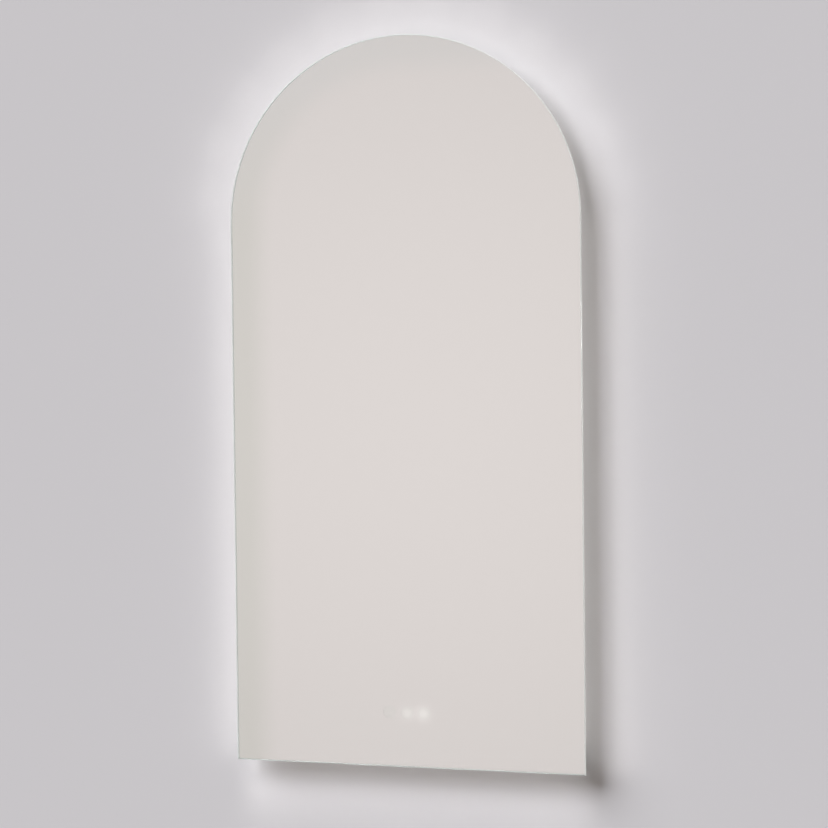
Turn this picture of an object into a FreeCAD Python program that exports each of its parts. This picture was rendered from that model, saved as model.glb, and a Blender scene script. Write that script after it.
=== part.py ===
"""Arched bathroom mirror with a light behind it, built as separate pieces in one parametric document.

The frame: X to the right, Y into the wall, Z up, in millimetres. The wall is the plane y = 0 and the mirror
faces -Y. The origin is on the wall, midway between the two screws of the wall rail.

From the front to the back: an arched mirror plate, its silver and its paint, foam tape, a bent aluminium
section with a channel that holds a light strip behind a snap-in diffuser, and inside that frame a heater
film, a touch switch, a tray with the driver and the junction box, and a rail that hooks over the wall rail.
"""

import FreeCAD
import Part
import Sketcher

import math
import os
import re

Vector = FreeCAD.Vector

# ---------------------------------------------------------------------------------------------------------
# The driving dimensions, in millimetres. Each becomes one cell of the spreadsheet, with this name as alias.
# ---------------------------------------------------------------------------------------------------------

SIZES = {
    # mirror plate
    "glass_width": 600.0,
    "glass_height": 1200.0,
    "glass_thickness": 5.0,
    "glass_edge": 1.2,
    "silver_thickness": 0.15,
    "paint_thickness": 0.15,
    "depth_overall": 40.0,
    "hang_drop": 340.0,
    # the bent frame section
    "frame_inset": 42.0,
    "frame_wall": 1.6,
    "glass_flange": 16.0,
    "rear_flange": 16.0,
    "rear_gap": 6.0,
    "channel_width": 13.0,
    "channel_setback": 7.0,
    "lip_wall": 1.2,
    "lip_reach": 7.0,
    "lip_bead": 0.5,
    "tape_thickness": 1.0,
    "tape_width": 12.0,
    "tape_margin": 2.0,
    "fit_gap": 0.1,
    # diffuser
    "diffuser_wall": 1.2,
    "diffuser_crown": 1.3,
    "diffuser_flat": 7.0,
    "diffuser_leg": 3.0,
    "snap_tooth": 0.4,
    # light strip
    "strip_width": 10.0,
    "strip_thickness": 0.4,
    "strip_end_gap": 24.0,
    "chip_length": 3.5,
    "chip_width": 2.8,
    "chip_height": 0.8,
    "chip_pitch": 33.33,
    "lead_hole": 7.0,
    "lead_hole_inset": 13.0,
    # pan head screws
    "screw_radius": 1.75,
    "screw_head_radius": 3.5,
    "screw_head_height": 2.0,
    "screw_length": 6.0,
    "short_screw_length": 4.0,
    "screw_clearance": 0.25,
    "thread_gap": 0.05,
    # corner keys and wall buffers
    "corner_key_thickness": 2.0,
    "corner_key_arm": 62.0,
    "corner_key_width": 14.0,
    "buffer_radius": 6.0,
    "buffer_inset": 100.0,
    # wall rail and hanger rail
    "rail_thickness": 2.0,
    "rail_bend": 1.5,
    "rail_play": 0.8,
    "wall_rail_length": 360.0,
    "wall_rail_below": 14.0,
    "wall_rail_above": 12.0,
    "wall_screw_spacing": 300.0,
    "wall_screw_hole": 5.5,
    "wall_slot_spacing": 120.0,
    "wall_slot_length": 14.0,
    "hook_rise": 28.0,
    "hook_lip": 14.0,
    "hook_gap": 0.4,
    "seat_gap": 0.1,
    "hanger_below": 12.0,
    "hanger_end_gap": 0.4,
    "hanger_screw_drop": 4.0,
    "hanger_screw_rise": 18.0,
    "lip_side_gap": 4.0,
    # heater film
    "heater_width": 350.0,
    "heater_height": 450.0,
    "heater_bottom": 330.0,
    "heater_thickness": 0.5,
    "heater_corner": 10.0,
    "trace_thickness": 0.1,
    "trace_width": 6.0,
    "trace_pitch": 15.0,
    "trace_margin": 14.0,
    "terminal_length": 34.0,
    "terminal_width": 18.0,
    "terminal_height": 7.0,
    "terminal_mouth": 3.0,
    "terminal_mouth_depth": 12.0,
    # tray that carries the driver and the junction box
    "gear_width": 300.0,
    "gear_height": 92.0,
    "gear_bottom": 160.0,
    "gear_thickness": 1.0,
    "gear_lip": 9.0,
    "gear_tape_width": 14.0,
    # driver
    "driver_length": 130.0,
    "driver_width": 46.0,
    "driver_height": 19.0,
    "driver_wall": 1.8,
    "driver_corner": 3.0,
    "driver_end_gap": 11.0,
    "driver_ear": 12.0,
    "driver_ear_width": 16.0,
    "driver_ear_thickness": 2.4,
    "driver_lid_thickness": 2.0,
    "driver_rib_length": 34.0,
    "driver_rib_width": 2.0,
    "driver_rib_height": 0.8,
    "driver_rib_pitch": 8.0,
    "board_thickness": 1.6,
    "board_ledge": 2.5,
    "board_gap": 0.3,
    "core_length": 24.0,
    "core_width": 20.0,
    "core_height": 9.0,
    "winding_length": 14.0,
    "winding_height": 6.0,
    "capacitor_radius": 5.0,
    "capacitor_height": 10.0,
    "capacitor_offset": 40.0,
    "socket_length": 9.0,
    "socket_width": 14.0,
    "socket_height": 8.0,
    "socket_pin_slot": 3.0,
    "socket_mouth_depth": 6.0,
    # junction box
    "box_length": 84.0,
    "box_width": 64.0,
    "box_height": 17.0,
    "box_wall": 2.0,
    "box_corner": 4.0,
    "box_end_gap": 16.0,
    "box_lid_thickness": 2.4,
    "box_lid_rim": 2.0,
    "collar_offset": 20.0,
    "collar_bore": 9.0,
    "collar_diameter": 15.0,
    "collar_height": 3.6,
    "pole_count": 3.0,
    "pole_pitch": 11.0,
    "pole_length": 18.0,
    "pole_height": 11.0,
    "pole_mouth": 5.0,
    "pole_mouth_depth": 9.0,
    "lever_width": 5.0,
    "lever_length": 13.0,
    "lever_height": 2.4,
    "pole_offset": 16.0,
    # touch switch and its three spots
    "window_diameter": 22.0,
    "touch_pitch": 30.0,
    "touch_height": 90.0,
    "clearing_length": 86.0,
    "clearing_width": 25.0,
    "lens_length": 90.0,
    "lens_width": 28.0,
    "lens_thickness": 0.8,
    "sensor_length": 110.0,
    "sensor_width": 40.0,
    "sensor_height": 12.0,
    "sensor_wall": 1.6,
    "sensor_corner": 4.0,
    "sensor_tape": 1.0,
    "sensor_tape_width": 5.0,
    "sensor_standoff": 1.0,
    "sensor_ledge": 2.0,
    "sensor_cover": 1.6,
    "sensor_rim": 2.0,
    "notch_width": 7.0,
    "notch_depth": 4.0,
    "lamp_side": 5.0,
    "lamp_height": 1.4,
}

TOUCHING = 0.001  # how far apart two coordinates of one corner may lie

doc = FreeCAD.newDocument("lighted_arch_mirror")
sheet = doc.addObject("Spreadsheet::Sheet", "Sizes")
for row, (alias, size) in enumerate(SIZES.items(), start=1):
    sheet.set(f"A{row}", alias)
    sheet.set(f"B{row}", str(size))
    sheet.setAlias(f"B{row}", alias)
doc.recompute()

# Depths, as expressions of the sheet's sizes
GLASS_FRONT = "(-depth_overall)"
GLASS_BACK = "(glass_thickness - depth_overall)"
SILVER_BACK = f"({GLASS_BACK} + silver_thickness)"
PAINT_BACK = f"({SILVER_BACK} + paint_thickness)"
TAPE_BACK = f"({PAINT_BACK} + tape_thickness)"
FRAME_BACK = "(-rear_gap)"
FLANGE_FRONT = f"({FRAME_BACK} - frame_wall)"
CHANNEL_REAR = "(-rear_gap - channel_setback)"
CHANNEL_FRONT = f"({CHANNEL_REAR} - channel_width)"
CHANNEL_CENTRE = f"({CHANNEL_REAR} - channel_width / 2)"
GEAR_BACK = f"({TAPE_BACK} + gear_thickness)"
HEATER_BACK = f"({PAINT_BACK} + heater_thickness)"
TRACE_BACK = f"({HEATER_BACK} + trace_thickness)"
WALL_LIP_FRONT = f"({FLANGE_FRONT} + rail_play)"
WALL_LIP_BACK = f"({WALL_LIP_FRONT} + rail_thickness)"
HOOK_FRONT = f"({WALL_LIP_BACK} + hook_gap)"
HOOK_BACK = f"({HOOK_FRONT} + rail_thickness)"
HANGER_FRONT = f"({FLANGE_FRONT} - rail_thickness)"
KEY_FRONT = f"({FLANGE_FRONT} - corner_key_thickness)"
SENSOR_FRONT = f"({PAINT_BACK} + sensor_tape)"
SENSOR_REAR = f"({SENSOR_FRONT} + sensor_height)"
SENSOR_BOARD = f"({SENSOR_FRONT} + sensor_wall + sensor_standoff)"
DRIVER_REAR = f"({GEAR_BACK} + driver_height)"
DRIVER_BOARD = f"({GEAR_BACK} + driver_wall + board_ledge)"
DRIVER_BOARD_BACK = f"({DRIVER_BOARD} + board_thickness)"
BOX_FLOOR = f"({GEAR_BACK} + box_wall)"
BOX_REAR = f"({GEAR_BACK} + box_height)"
BOX_LID_REAR = f"({BOX_REAR} + box_lid_thickness)"

# Heights
GLASS_BOTTOM = "(hang_drop - glass_height)"
SPRING_LINE = "(hang_drop - glass_width / 2)"
FRAME_BOTTOM = f"({GLASS_BOTTOM} + frame_inset)"
FOOT_TOP = f"({FRAME_BOTTOM} + frame_wall)"
FOOT_MIDDLE = f"({FRAME_BOTTOM} + (rear_flange + frame_wall) / 2)"
GEAR_BOTTOM = f"({GLASS_BOTTOM} + gear_bottom)"
GEAR_TOP = f"({GEAR_BOTTOM} + gear_height)"
GEAR_CENTRE = f"({GEAR_BOTTOM} + gear_height / 2)"
TOUCH_CENTRE = f"({GLASS_BOTTOM} + touch_height)"
HEATER_BOTTOM = f"({GLASS_BOTTOM} + heater_bottom)"

# Half widths. The outer face of the frame's web is also the radius of its arch.
WEB = "(glass_width / 2 - frame_inset)"
WEB_INSIDE = f"({WEB} - frame_wall)"
FLANGE_MIDDLE = f"({WEB} - (rear_flange + frame_wall) / 2)"
DRIVER_CENTRE = "(driver_end_gap + driver_ear + driver_length / 2 - gear_width / 2)"
BOX_CENTRE = "(gear_width / 2 - box_end_gap - box_length / 2)"
TOUCH_SPOTS = ["-touch_pitch", "0", "touch_pitch"]


def sized(text):
    """The expression with each size's name pointing at its cell."""

    def cell(match):
        word = match.group()
        return "Sizes." + word if word in SIZES else word

    return re.sub(r"[a-z][a-z_]+", cell, str(text))


def mm(text):
    """The value of an expression of sizes, in millimetres."""
    return float(sheet.evalExpression(sized(text)))


# ---------------------------------------------------------------------------------------------------------
# Sketch wires: each returns a function that draws it in a sketch and binds it to the sheet
# ---------------------------------------------------------------------------------------------------------


def bind_point(sk, geometry, point, across, up):
    """Holds a sketch point at two expressions, measured from the sketch's origin."""
    for kind, text in (("DistanceX", across), ("DistanceY", up)):
        index = sk.addConstraint(Sketcher.Constraint(kind, -1, 1, geometry, point, mm(text)))
        sk.setExpression(f"Constraints[{index}]", sized(text))


def polygon(points):
    """A closed outline of straight edges."""

    def draw(sk):
        corners = [Vector(mm(a), mm(b), 0) for a, b in points]
        first = sk.GeometryCount
        count = len(corners)
        for i in range(count):
            sk.addGeometry(Part.LineSegment(corners[i], corners[(i + 1) % count]), False)
        for i in range(count):
            sk.addConstraint(Sketcher.Constraint("Coincident", first + i, 2, first + (i + 1) % count, 1))
        for i, (across, up) in enumerate(points):
            bind_point(sk, first + i, 1, across, up)

    return draw


def rectangle(left, bottom, right, top):
    """A rectangle between two corners."""
    return polygon([(left, bottom), (right, bottom), (right, top), (left, top)])


def block(across, up, length, width):
    """A rectangle about a point."""
    left, right = (f"{across} {side} {length} / 2" for side in "-+")
    bottom, top = (f"{up} {side} {width} / 2" for side in "-+")
    return rectangle(left, bottom, right, top)


def circle(across, up, radius):
    """A circle about a point."""

    def draw(sk):
        centre = Vector(mm(across), mm(up), 0)
        index = sk.addGeometry(Part.Circle(centre, Vector(0, 0, 1), mm(radius)), False)
        bind_point(sk, index, 3, across, up)
        held = sk.addConstraint(Sketcher.Constraint("Radius", index, mm(radius)))
        sk.setExpression(f"Constraints[{held}]", sized(radius))

    return draw


def slot(across, up, length, width):
    """A slot along the sketch's first axis, with round ends, centred on a point."""

    def draw(sk):
        reach, radius = f"(({length} - {width}) / 2)", f"({width} / 2)"
        r = mm(radius)
        left, right = (Vector(mm(f"{across} {sign} {reach}"), mm(up), 0) for sign in "-+")
        axis = Vector(0, 0, 1)
        first = sk.GeometryCount
        sk.addGeometry(Part.ArcOfCircle(Part.Circle(left, axis, r), math.pi / 2, 3 * math.pi / 2), False)
        sk.addGeometry(Part.LineSegment(left - Vector(0, r, 0), right - Vector(0, r, 0)), False)
        sk.addGeometry(Part.ArcOfCircle(Part.Circle(right, axis, r), -math.pi / 2, math.pi / 2), False)
        sk.addGeometry(Part.LineSegment(right + Vector(0, r, 0), left + Vector(0, r, 0)), False)
        for i in range(4):
            sk.addConstraint(Sketcher.Constraint("Tangent", first + i, 2, first + (i + 1) % 4, 1))
        bind_point(sk, first, 3, f"{across} - {reach}", up)
        bind_point(sk, first + 2, 3, f"{across} + {reach}", up)
        held = sk.addConstraint(Sketcher.Constraint("Radius", first, mm(radius)))
        sk.setExpression(f"Constraints[{held}]", sized(radius))
        sk.addConstraint(Sketcher.Constraint("Equal", first, first + 2))

    return draw


def arch(inset):
    """The mirror's outline, moved inwards: a square foot, upright sides and a half circle on top."""

    def draw(sk):
        side, foot, spring = f"(glass_width / 2 - {inset})", f"({GLASS_BOTTOM} + {inset})", SPRING_LINE
        x, bottom, top = mm(side), mm(foot), mm(spring)
        first = sk.GeometryCount
        sk.addGeometry(Part.LineSegment(Vector(-x, top, 0), Vector(-x, bottom, 0)), False)
        sk.addGeometry(Part.LineSegment(Vector(-x, bottom, 0), Vector(x, bottom, 0)), False)
        sk.addGeometry(Part.LineSegment(Vector(x, bottom, 0), Vector(x, top, 0)), False)
        head = Part.Circle(Vector(0, top, 0), Vector(0, 0, 1), x)
        sk.addGeometry(Part.ArcOfCircle(head, 0, math.pi), False)
        for i in range(4):
            sk.addConstraint(Sketcher.Constraint("Coincident", first + i, 2, first + (i + 1) % 4, 1))
        bind_point(sk, first, 1, f"-{side}", spring)
        bind_point(sk, first + 1, 1, f"-{side}", foot)
        bind_point(sk, first + 2, 1, side, foot)
        bind_point(sk, first + 3, 1, side, spring)
        held = sk.addConstraint(Sketcher.Constraint("DistanceY", -1, 1, first + 3, 3, top))
        sk.setExpression(f"Constraints[{held}]", sized(spring))

    return draw


# ---------------------------------------------------------------------------------------------------------
# Bodies and features
# ---------------------------------------------------------------------------------------------------------

nodes = []
NORMAL = {"XY": 1, "XZ": -1, "YZ": 1}  # which way each plane's sketch normal points along its axis


def new_body(label):
    """A body whose label names its node."""
    body = doc.addObject("PartDesign::Body", label)
    nodes.append(body)
    return body


def origin_plane(body, plane):
    """One of the body's own origin planes."""
    return next(f for f in body.Origin.OriginFeatures if f.Role == plane + "_Plane")


def new_sketch(body, name, plane, at, wires):
    """A sketch parallel to an origin plane, at a signed distance along that plane's axis."""
    sk = body.newObject("Sketcher::SketchObject", name + "_sketch")
    sk.AttachmentSupport = [(origin_plane(body, plane), "")]
    sk.MapMode = "FlatFace"
    sk.setExpression("AttachmentOffset.Base.z", sized(f"{NORMAL[plane]} * {at}"))
    for draw in wires:
        draw(sk)
    return sk


def add(body, name, plane, start, end, *wires):
    """Pads the wires from start to end along the plane's axis."""
    pad = body.newObject("PartDesign::Pad", name)
    pad.Profile = new_sketch(body, name, plane, start, wires)
    pad.setExpression("Length", sized(f"{end} - {start}"))
    pad.Reversed = NORMAL[plane] < 0
    return pad


def cut(body, name, plane, start, end, *wires):
    """Cuts the wires away from start to end along the plane's axis."""
    pocket = body.newObject("PartDesign::Pocket", name)
    pocket.Profile = new_sketch(body, name, plane, start, wires)
    pocket.setExpression("Length", sized(f"{end} - {start}"))
    pocket.Reversed = NORMAL[plane] > 0
    return pocket


def edges_where(shape, test):
    """The names of the shape's edges that pass a test."""
    return [f"Edge{i}" for i, edge in enumerate(shape.Edges, start=1) if test(edge)]


def bevel_edges(body, name, size, test):
    """Chamfers the edges of the body's last feature that pass a test."""
    doc.recompute()
    base = body.Tip
    chamfer = body.newObject("PartDesign::Chamfer", name)
    chamfer.Base = (base, edges_where(base.Shape, test))
    chamfer.setExpression("Size", sized(size))
    return chamfer


def round_edges(body, name, radius, test):
    """Fillets the edges of the body's last feature that pass a test."""
    doc.recompute()
    base = body.Tip
    fillet = body.newObject("PartDesign::Fillet", name)
    fillet.Base = (base, edges_where(base.Shape, test))
    fillet.setExpression("Radius", sized(radius))
    return fillet


def repeat(body, name, original, axis, count, pitch):
    """Repeats a feature along one of the body's origin axes."""
    doc.recompute()
    pattern = body.newObject("PartDesign::LinearPattern", name)
    pattern.Originals = [original]
    line = next(f for f in body.Origin.OriginFeatures if f.Role == axis + "_Axis")
    pattern.Direction = (line, [""])
    pattern.Mode = "Spacing"
    pattern.Occurrences = count
    pattern.setExpression("Offset", sized(pitch))
    body.Tip = pattern
    return pattern


def flat_at(depth):
    """A test for edges that lie in one plane of constant y."""
    y = mm(depth)
    return lambda edge: all(abs(v.Point.y - y) < TOUCHING for v in edge.Vertexes)


def along(axis):
    """A test for straight edges along an axis."""

    def test(edge):
        span = edge.BoundBox
        sides = {"X": span.XLength, "Y": span.YLength, "Z": span.ZLength}
        return sides.pop(axis) > TOUCHING and all(side < TOUCHING for side in sides.values())

    return test


def group(label, shapes):
    """A node of separate solids that no feature makes."""
    feature = doc.addObject("Part::Feature", label)
    feature.Shape = Part.makeCompound(shapes)
    feature.Placement = FreeCAD.Placement()
    nodes.append(feature)
    return feature


# ---------------------------------------------------------------------------------------------------------
# Mirror plate, silver, paint and foam tape
# ---------------------------------------------------------------------------------------------------------

def build_mirror_glass():
    """The plate: one arched sheet of glass, its edge ground flat with a bevel front and back."""
    body = new_body("mirror_glass")
    add(body, "plate", "XZ", GLASS_FRONT, GLASS_BACK, arch("0"))
    front, back = flat_at(GLASS_FRONT), flat_at(GLASS_BACK)
    bevel_edges(body, "ground_edge", "glass_edge", lambda edge: front(edge) or back(edge))


def build_coatings():
    """The silver, with a round window for each touch spot, and the paint, left clear behind all three."""
    body = new_body("silver_coat")
    add(body, "coat", "XZ", GLASS_BACK, SILVER_BACK, arch("glass_edge"))
    windows = [circle(x, TOUCH_CENTRE, "window_diameter / 2") for x in TOUCH_SPOTS]
    cut(body, "windows", "XZ", GLASS_BACK, SILVER_BACK, *windows)

    body = new_body("backing_paint")
    add(body, "coat", "XZ", SILVER_BACK, PAINT_BACK, arch("glass_edge"))
    clearing = block("0", TOUCH_CENTRE, "clearing_length", "clearing_width")
    cut(body, "clearing", "XZ", SILVER_BACK, PAINT_BACK, clearing)


def build_frame_tape():
    """The foam tape that bonds the frame to the plate."""
    body = new_body("frame_tape")
    outer = "(frame_inset + tape_margin)"
    add(body, "ring", "XZ", PAINT_BACK, TAPE_BACK, arch(outer), arch(f"({outer} + tape_width)"))


# ---------------------------------------------------------------------------------------------------------
# The bent aluminium section and what snaps into it
# ---------------------------------------------------------------------------------------------------------


def frame_section():
    """The section, as (reach outwards from the web's outer face, depth): a flange on the plate, a web, a
    channel with beaded lips on its outer side, and a flange at the back."""
    front_lip, rear_lip = f"({CHANNEL_FRONT} - lip_wall)", f"({CHANNEL_REAR} + lip_wall)"
    bead_root, bead_top = "(lip_reach - 3 * lip_bead)", "(lip_reach - 2 * lip_bead)"
    return [
        ("-glass_flange", TAPE_BACK),
        ("0", TAPE_BACK),
        ("0", front_lip),
        ("lip_reach", front_lip),
        ("lip_reach", f"({CHANNEL_FRONT} + lip_bead)"),
        (bead_top, f"({CHANNEL_FRONT} + lip_bead)"),
        (bead_root, CHANNEL_FRONT),
        ("0", CHANNEL_FRONT),
        ("0", CHANNEL_REAR),
        (bead_root, CHANNEL_REAR),
        (bead_top, f"({CHANNEL_REAR} - lip_bead)"),
        ("lip_reach", f"({CHANNEL_REAR} - lip_bead)"),
        ("lip_reach", rear_lip),
        ("0", rear_lip),
        ("0", FRAME_BACK),
        ("-rear_flange", FRAME_BACK),
        ("-rear_flange", FLANGE_FRONT),
        ("-frame_wall", FLANGE_FRONT),
        ("-frame_wall", f"({TAPE_BACK} + frame_wall)"),
        ("-glass_flange", f"({TAPE_BACK} + frame_wall)"),
    ]


def diffuser_section():
    """The snap-in cover: a crowned cap over the channel and two legs with teeth behind the lips' beads."""
    cap = "(channel_width / 2 + lip_wall)"
    leg = "(channel_width / 2 - lip_bead - fit_gap)"
    tooth = f"({leg} + snap_tooth)"
    seat, skin = "(lip_reach + fit_gap)", "(lip_reach + fit_gap + diffuser_wall)"
    tip = "(lip_reach - diffuser_leg)"
    half = [
        (f"({skin} + diffuser_crown)", "diffuser_flat / 2"),
        (f"({seat} + diffuser_wall / 2)", cap),
        (seat, cap),
        (seat, leg),
        ("(lip_reach - 2 * lip_bead)", leg),
        ("(lip_reach - 4 * lip_bead)", tooth),
        (tip, f"({leg} - diffuser_wall)"),
        ("lip_reach", f"({leg} - diffuser_wall)"),
    ]
    rear = [(out, f"({CHANNEL_CENTRE} + {reach})") for out, reach in half]
    front = [(out, f"({CHANNEL_CENTRE} - {reach})") for out, reach in reversed(half)]
    return rear + front


def mitres():
    """The two wedges below the frame's 45 degree corners, wide enough to cut any section."""
    reach = "3 * frame_inset"
    tip, edge = f"({WEB} - {reach})", f"({WEB} + {reach})"
    top, low = f"({FRAME_BOTTOM} + {reach})", f"({FRAME_BOTTOM} - {reach})"
    return tip, edge, top, low


def bend_over_arch(body, section, bottom):
    """Carries a section up the right leg, round the half circle and down the left leg."""
    shifted = [(f"({WEB} + {out})", depth) for out, depth in section]
    leg = add(body, "right_leg", "XY", bottom, SPRING_LINE, polygon(shifted))
    bow = body.newObject("PartDesign::Revolution", "bow")
    bow.Profile = new_sketch(body, "bow", "XY", SPRING_LINE, [polygon(shifted)])
    bow.ReferenceAxis = (bow.Profile[0], ["V_Axis"])
    bow.Angle = 180
    bow.Reversed = True
    doc.recompute()
    left = body.newObject("PartDesign::Mirrored", "left_leg")
    left.Originals = [leg]
    left.MirrorPlane = (origin_plane(body, "YZ"), [""])
    body.Tip = left


def cut_arch_mitres(body):
    """Cuts the two legs off at 45 degrees where they meet the foot."""
    tip, edge, top, low = mitres()
    right = [(tip, top), (tip, low), (edge, low)]
    cut(body, "mitres", "XZ", GLASS_FRONT, "0", polygon(right), polygon([(f"-{x}", z) for x, z in right]))


def lay_across_foot(body, section):
    """Carries a section along the foot, between the mitres."""
    turned = [(depth, f"({FRAME_BOTTOM} - {out})") for out, depth in section]
    add(body, "foot", "YZ", f"(-{WEB} - frame_inset)", f"({WEB} + frame_inset)", polygon(turned))
    tip, edge, top, low = mitres()
    right = [(tip, top), (edge, low), (edge, top)]
    cut(body, "mitres", "XZ", GLASS_FRONT, "0", polygon(right), polygon([(f"-{x}", z) for x, z in right]))


def screw_holes(body, name, places, radius, start, end):
    """Holes through a wall that faces the room's wall, one for each place, as (across, up)."""
    cut(body, name, "XZ", start, end, *[circle(x, z, radius) for x, z in places])


def both_sides(places):
    """Each (across, up) place on the right and its mirror image on the left."""
    return [(f"{side} {x}", z) for side in ("", "-1 *") for x, z in places]


HEAD_SIDES = 10
SHANK_SIDES = 6
CLEAR_HOLE = "(screw_radius + screw_clearance)"
TAPPED_HOLE = "(screw_radius + thread_gap)"
HANGER_SCREWS = [(FLANGE_MIDDLE, "-hanger_screw_drop"), (FLANGE_MIDDLE, "hanger_screw_rise")]
BUFFERS = [(f"({WEB} - buffer_inset)", FOOT_MIDDLE)]
LEAD_HOLE = (f"(-({WEB} - lead_hole_inset))", CHANNEL_CENTRE)


def build_frame_arch():
    """The two legs and the half circle, bent from one length of the section."""
    body = new_body("frame_arch")
    bend_over_arch(body, frame_section(), f"({FRAME_BOTTOM} - frame_inset)")
    cut_arch_mitres(body)
    screw_holes(body, "screw_holes", both_sides(HANGER_SCREWS), CLEAR_HOLE, FLANGE_FRONT, FRAME_BACK)


def build_frame_foot():
    """The straight length across the foot, with the hole that the strip's lead comes through."""
    body = new_body("frame_foot")
    lay_across_foot(body, frame_section())
    cut(body, "lead_hole", "XY", FRAME_BOTTOM, FOOT_TOP, circle(*LEAD_HOLE, "lead_hole / 2"))


def build_corner_key(label, side):
    """The flat L that lies in one lower corner of the section and is crimped into both lengths."""
    body = new_body(label)
    edge, foot = f"({WEB_INSIDE} - fit_gap)", f"({FOOT_TOP} + fit_gap)"
    inner, end = f"({edge} - corner_key_width)", f"({edge} - corner_key_arm)"
    ledge, top = f"({foot} + corner_key_width)", f"({foot} + corner_key_arm)"
    outline = [(edge, foot), (edge, top), (inner, top), (inner, ledge), (end, ledge), (end, foot)]
    add(body, "key", "XZ", KEY_FRONT, FLANGE_FRONT, polygon([(f"{side} {x}", z) for x, z in outline]))


# ---------------------------------------------------------------------------------------------------------
# Light strip and diffuser
# ---------------------------------------------------------------------------------------------------------


def build_light_strip():
    """The flexible strip on the outer face of the web, up and over the arch and along the foot."""
    rear, front = (f"({CHANNEL_CENTRE} {side} strip_width / 2)" for side in "+-")
    section = [("0", front), ("strip_thickness", front), ("strip_thickness", rear), ("0", rear)]
    body = new_body("light_strip_arch")
    bend_over_arch(body, section, f"({FRAME_BOTTOM} + strip_end_gap)")
    body = new_body("light_strip_foot")
    reach = f"({WEB} - strip_end_gap)"
    bottom = f"({FRAME_BOTTOM} - strip_thickness)"
    add(body, "strip", "XY", bottom, FRAME_BOTTOM, rectangle(f"-{reach}", front, reach, rear))


def build_light_chips():
    """The light sources on the strip, evenly spaced along the legs, the arch and the foot."""
    length, width, height = mm("chip_length"), mm("chip_width"), mm("chip_height")
    pitch, web, spring = mm("chip_pitch"), mm(WEB), mm(SPRING_LINE)
    level = mm("strip_thickness")
    chip = Part.makeBox(height, width, length, Vector(level, mm(CHANNEL_CENTRE) - width / 2, -length / 2))
    chips = []

    def place(x, z, degrees):
        copy = chip.copy()
        copy.rotate(Vector(0, 0, 0), Vector(0, 1, 0), -degrees)
        copy.translate(Vector(x, 0, z))
        chips.append(copy)

    low = mm(f"{FRAME_BOTTOM} + strip_end_gap") + pitch
    on_leg = int((spring - low) / pitch) + 1
    for i in range(on_leg):
        place(web, low + i * pitch, 0)
        place(-web, low + i * pitch, 180)
    step = pitch / web
    on_arch = int((math.pi - step) / step)
    for i in range(on_arch):
        angle = math.pi / 2 + (i - (on_arch - 1) / 2) * step
        place(web * math.cos(angle), spring + web * math.sin(angle), math.degrees(angle))
    reach = mm(f"{WEB} - strip_end_gap") - pitch
    on_foot = int(2 * reach / pitch)
    for i in range(on_foot + 1):
        place((i - on_foot / 2) * pitch, mm(FRAME_BOTTOM), 270)
    group("light_chips", chips)


def build_diffuser():
    """The opal cover that snaps over the channel, mitred at the two lower corners like the frame."""
    body = new_body("diffuser_arch")
    bend_over_arch(body, diffuser_section(), f"({FRAME_BOTTOM} - frame_inset)")
    cut_arch_mitres(body)
    body = new_body("diffuser_foot")
    lay_across_foot(body, diffuser_section())


# ---------------------------------------------------------------------------------------------------------
# Wall rail and hanger rail
# ---------------------------------------------------------------------------------------------------------


def round_bends(body, corners):
    """Rounds the outer bends of a sheet metal rail, given as (depth, height) of each."""
    points = [(mm(y), mm(z)) for y, z in corners]

    def at_bend(edge):
        end = edge.Vertexes[0].Point
        near = any(math.hypot(end.y - y, end.z - z) < TOUCHING for y, z in points)
        return near and along("X")(edge)

    round_edges(body, "bends", "rail_bend", at_bend)


def build_wall_rail():
    """The rail that stays on the wall: a back plate, a step forwards and a lip that stands up."""
    body = new_body("wall_rail")
    step, top = "(wall_rail_above - rail_thickness)", "(hook_rise - seat_gap)"
    section = [
        ("-rail_thickness", "-wall_rail_below"),
        ("0", "-wall_rail_below"),
        ("0", "wall_rail_above"),
        (WALL_LIP_BACK, "wall_rail_above"),
        (WALL_LIP_BACK, top),
        (WALL_LIP_FRONT, top),
        (WALL_LIP_FRONT, step),
        ("-rail_thickness", step),
    ]
    add(body, "rail", "YZ", "-wall_rail_length / 2", "wall_rail_length / 2", polygon(section))
    round_bends(body, [("0", "wall_rail_above"), (WALL_LIP_FRONT, step)])
    holes = []
    for side in "-+":
        holes.append(circle(f"{side} wall_screw_spacing / 2", "0", "wall_screw_hole / 2"))
        holes.append(slot(f"{side} wall_slot_spacing / 2", "0", "wall_slot_length", "wall_screw_hole"))
    cut(body, "screw_holes", "XZ", "-rail_thickness", "0", *holes)


def build_hanger_rail():
    """The rail across the frame that hooks over the wall rail, its web and lip cut back at the ends."""
    body = new_body("hanger_rail")
    reach, top = f"({WEB_INSIDE} - hanger_end_gap)", "(hook_rise + rail_thickness)"
    section = [
        (HANGER_FRONT, "-hanger_below"),
        (FLANGE_FRONT, "-hanger_below"),
        (FLANGE_FRONT, "hook_rise"),
        (HOOK_FRONT, "hook_rise"),
        (HOOK_FRONT, "hook_lip"),
        (HOOK_BACK, "hook_lip"),
        (HOOK_BACK, top),
        (HANGER_FRONT, top),
    ]
    add(body, "rail", "YZ", f"-{reach}", reach, polygon(section))
    round_bends(body, [(HANGER_FRONT, top), (HOOK_BACK, top)])
    inner = f"({WEB} - rear_flange - lip_side_gap)"
    left = rectangle(f"-{WEB}", "hook_lip", f"-{inner}", f"{top} + lip_side_gap")
    right = rectangle(inner, "hook_lip", WEB, f"{top} + lip_side_gap")
    cut(body, "end_reliefs", "XZ", FLANGE_FRONT, HOOK_BACK, left, right)
    screw_holes(body, "tapped_holes", both_sides(HANGER_SCREWS), TAPPED_HOLE, HANGER_FRONT, FLANGE_FRONT)


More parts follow.
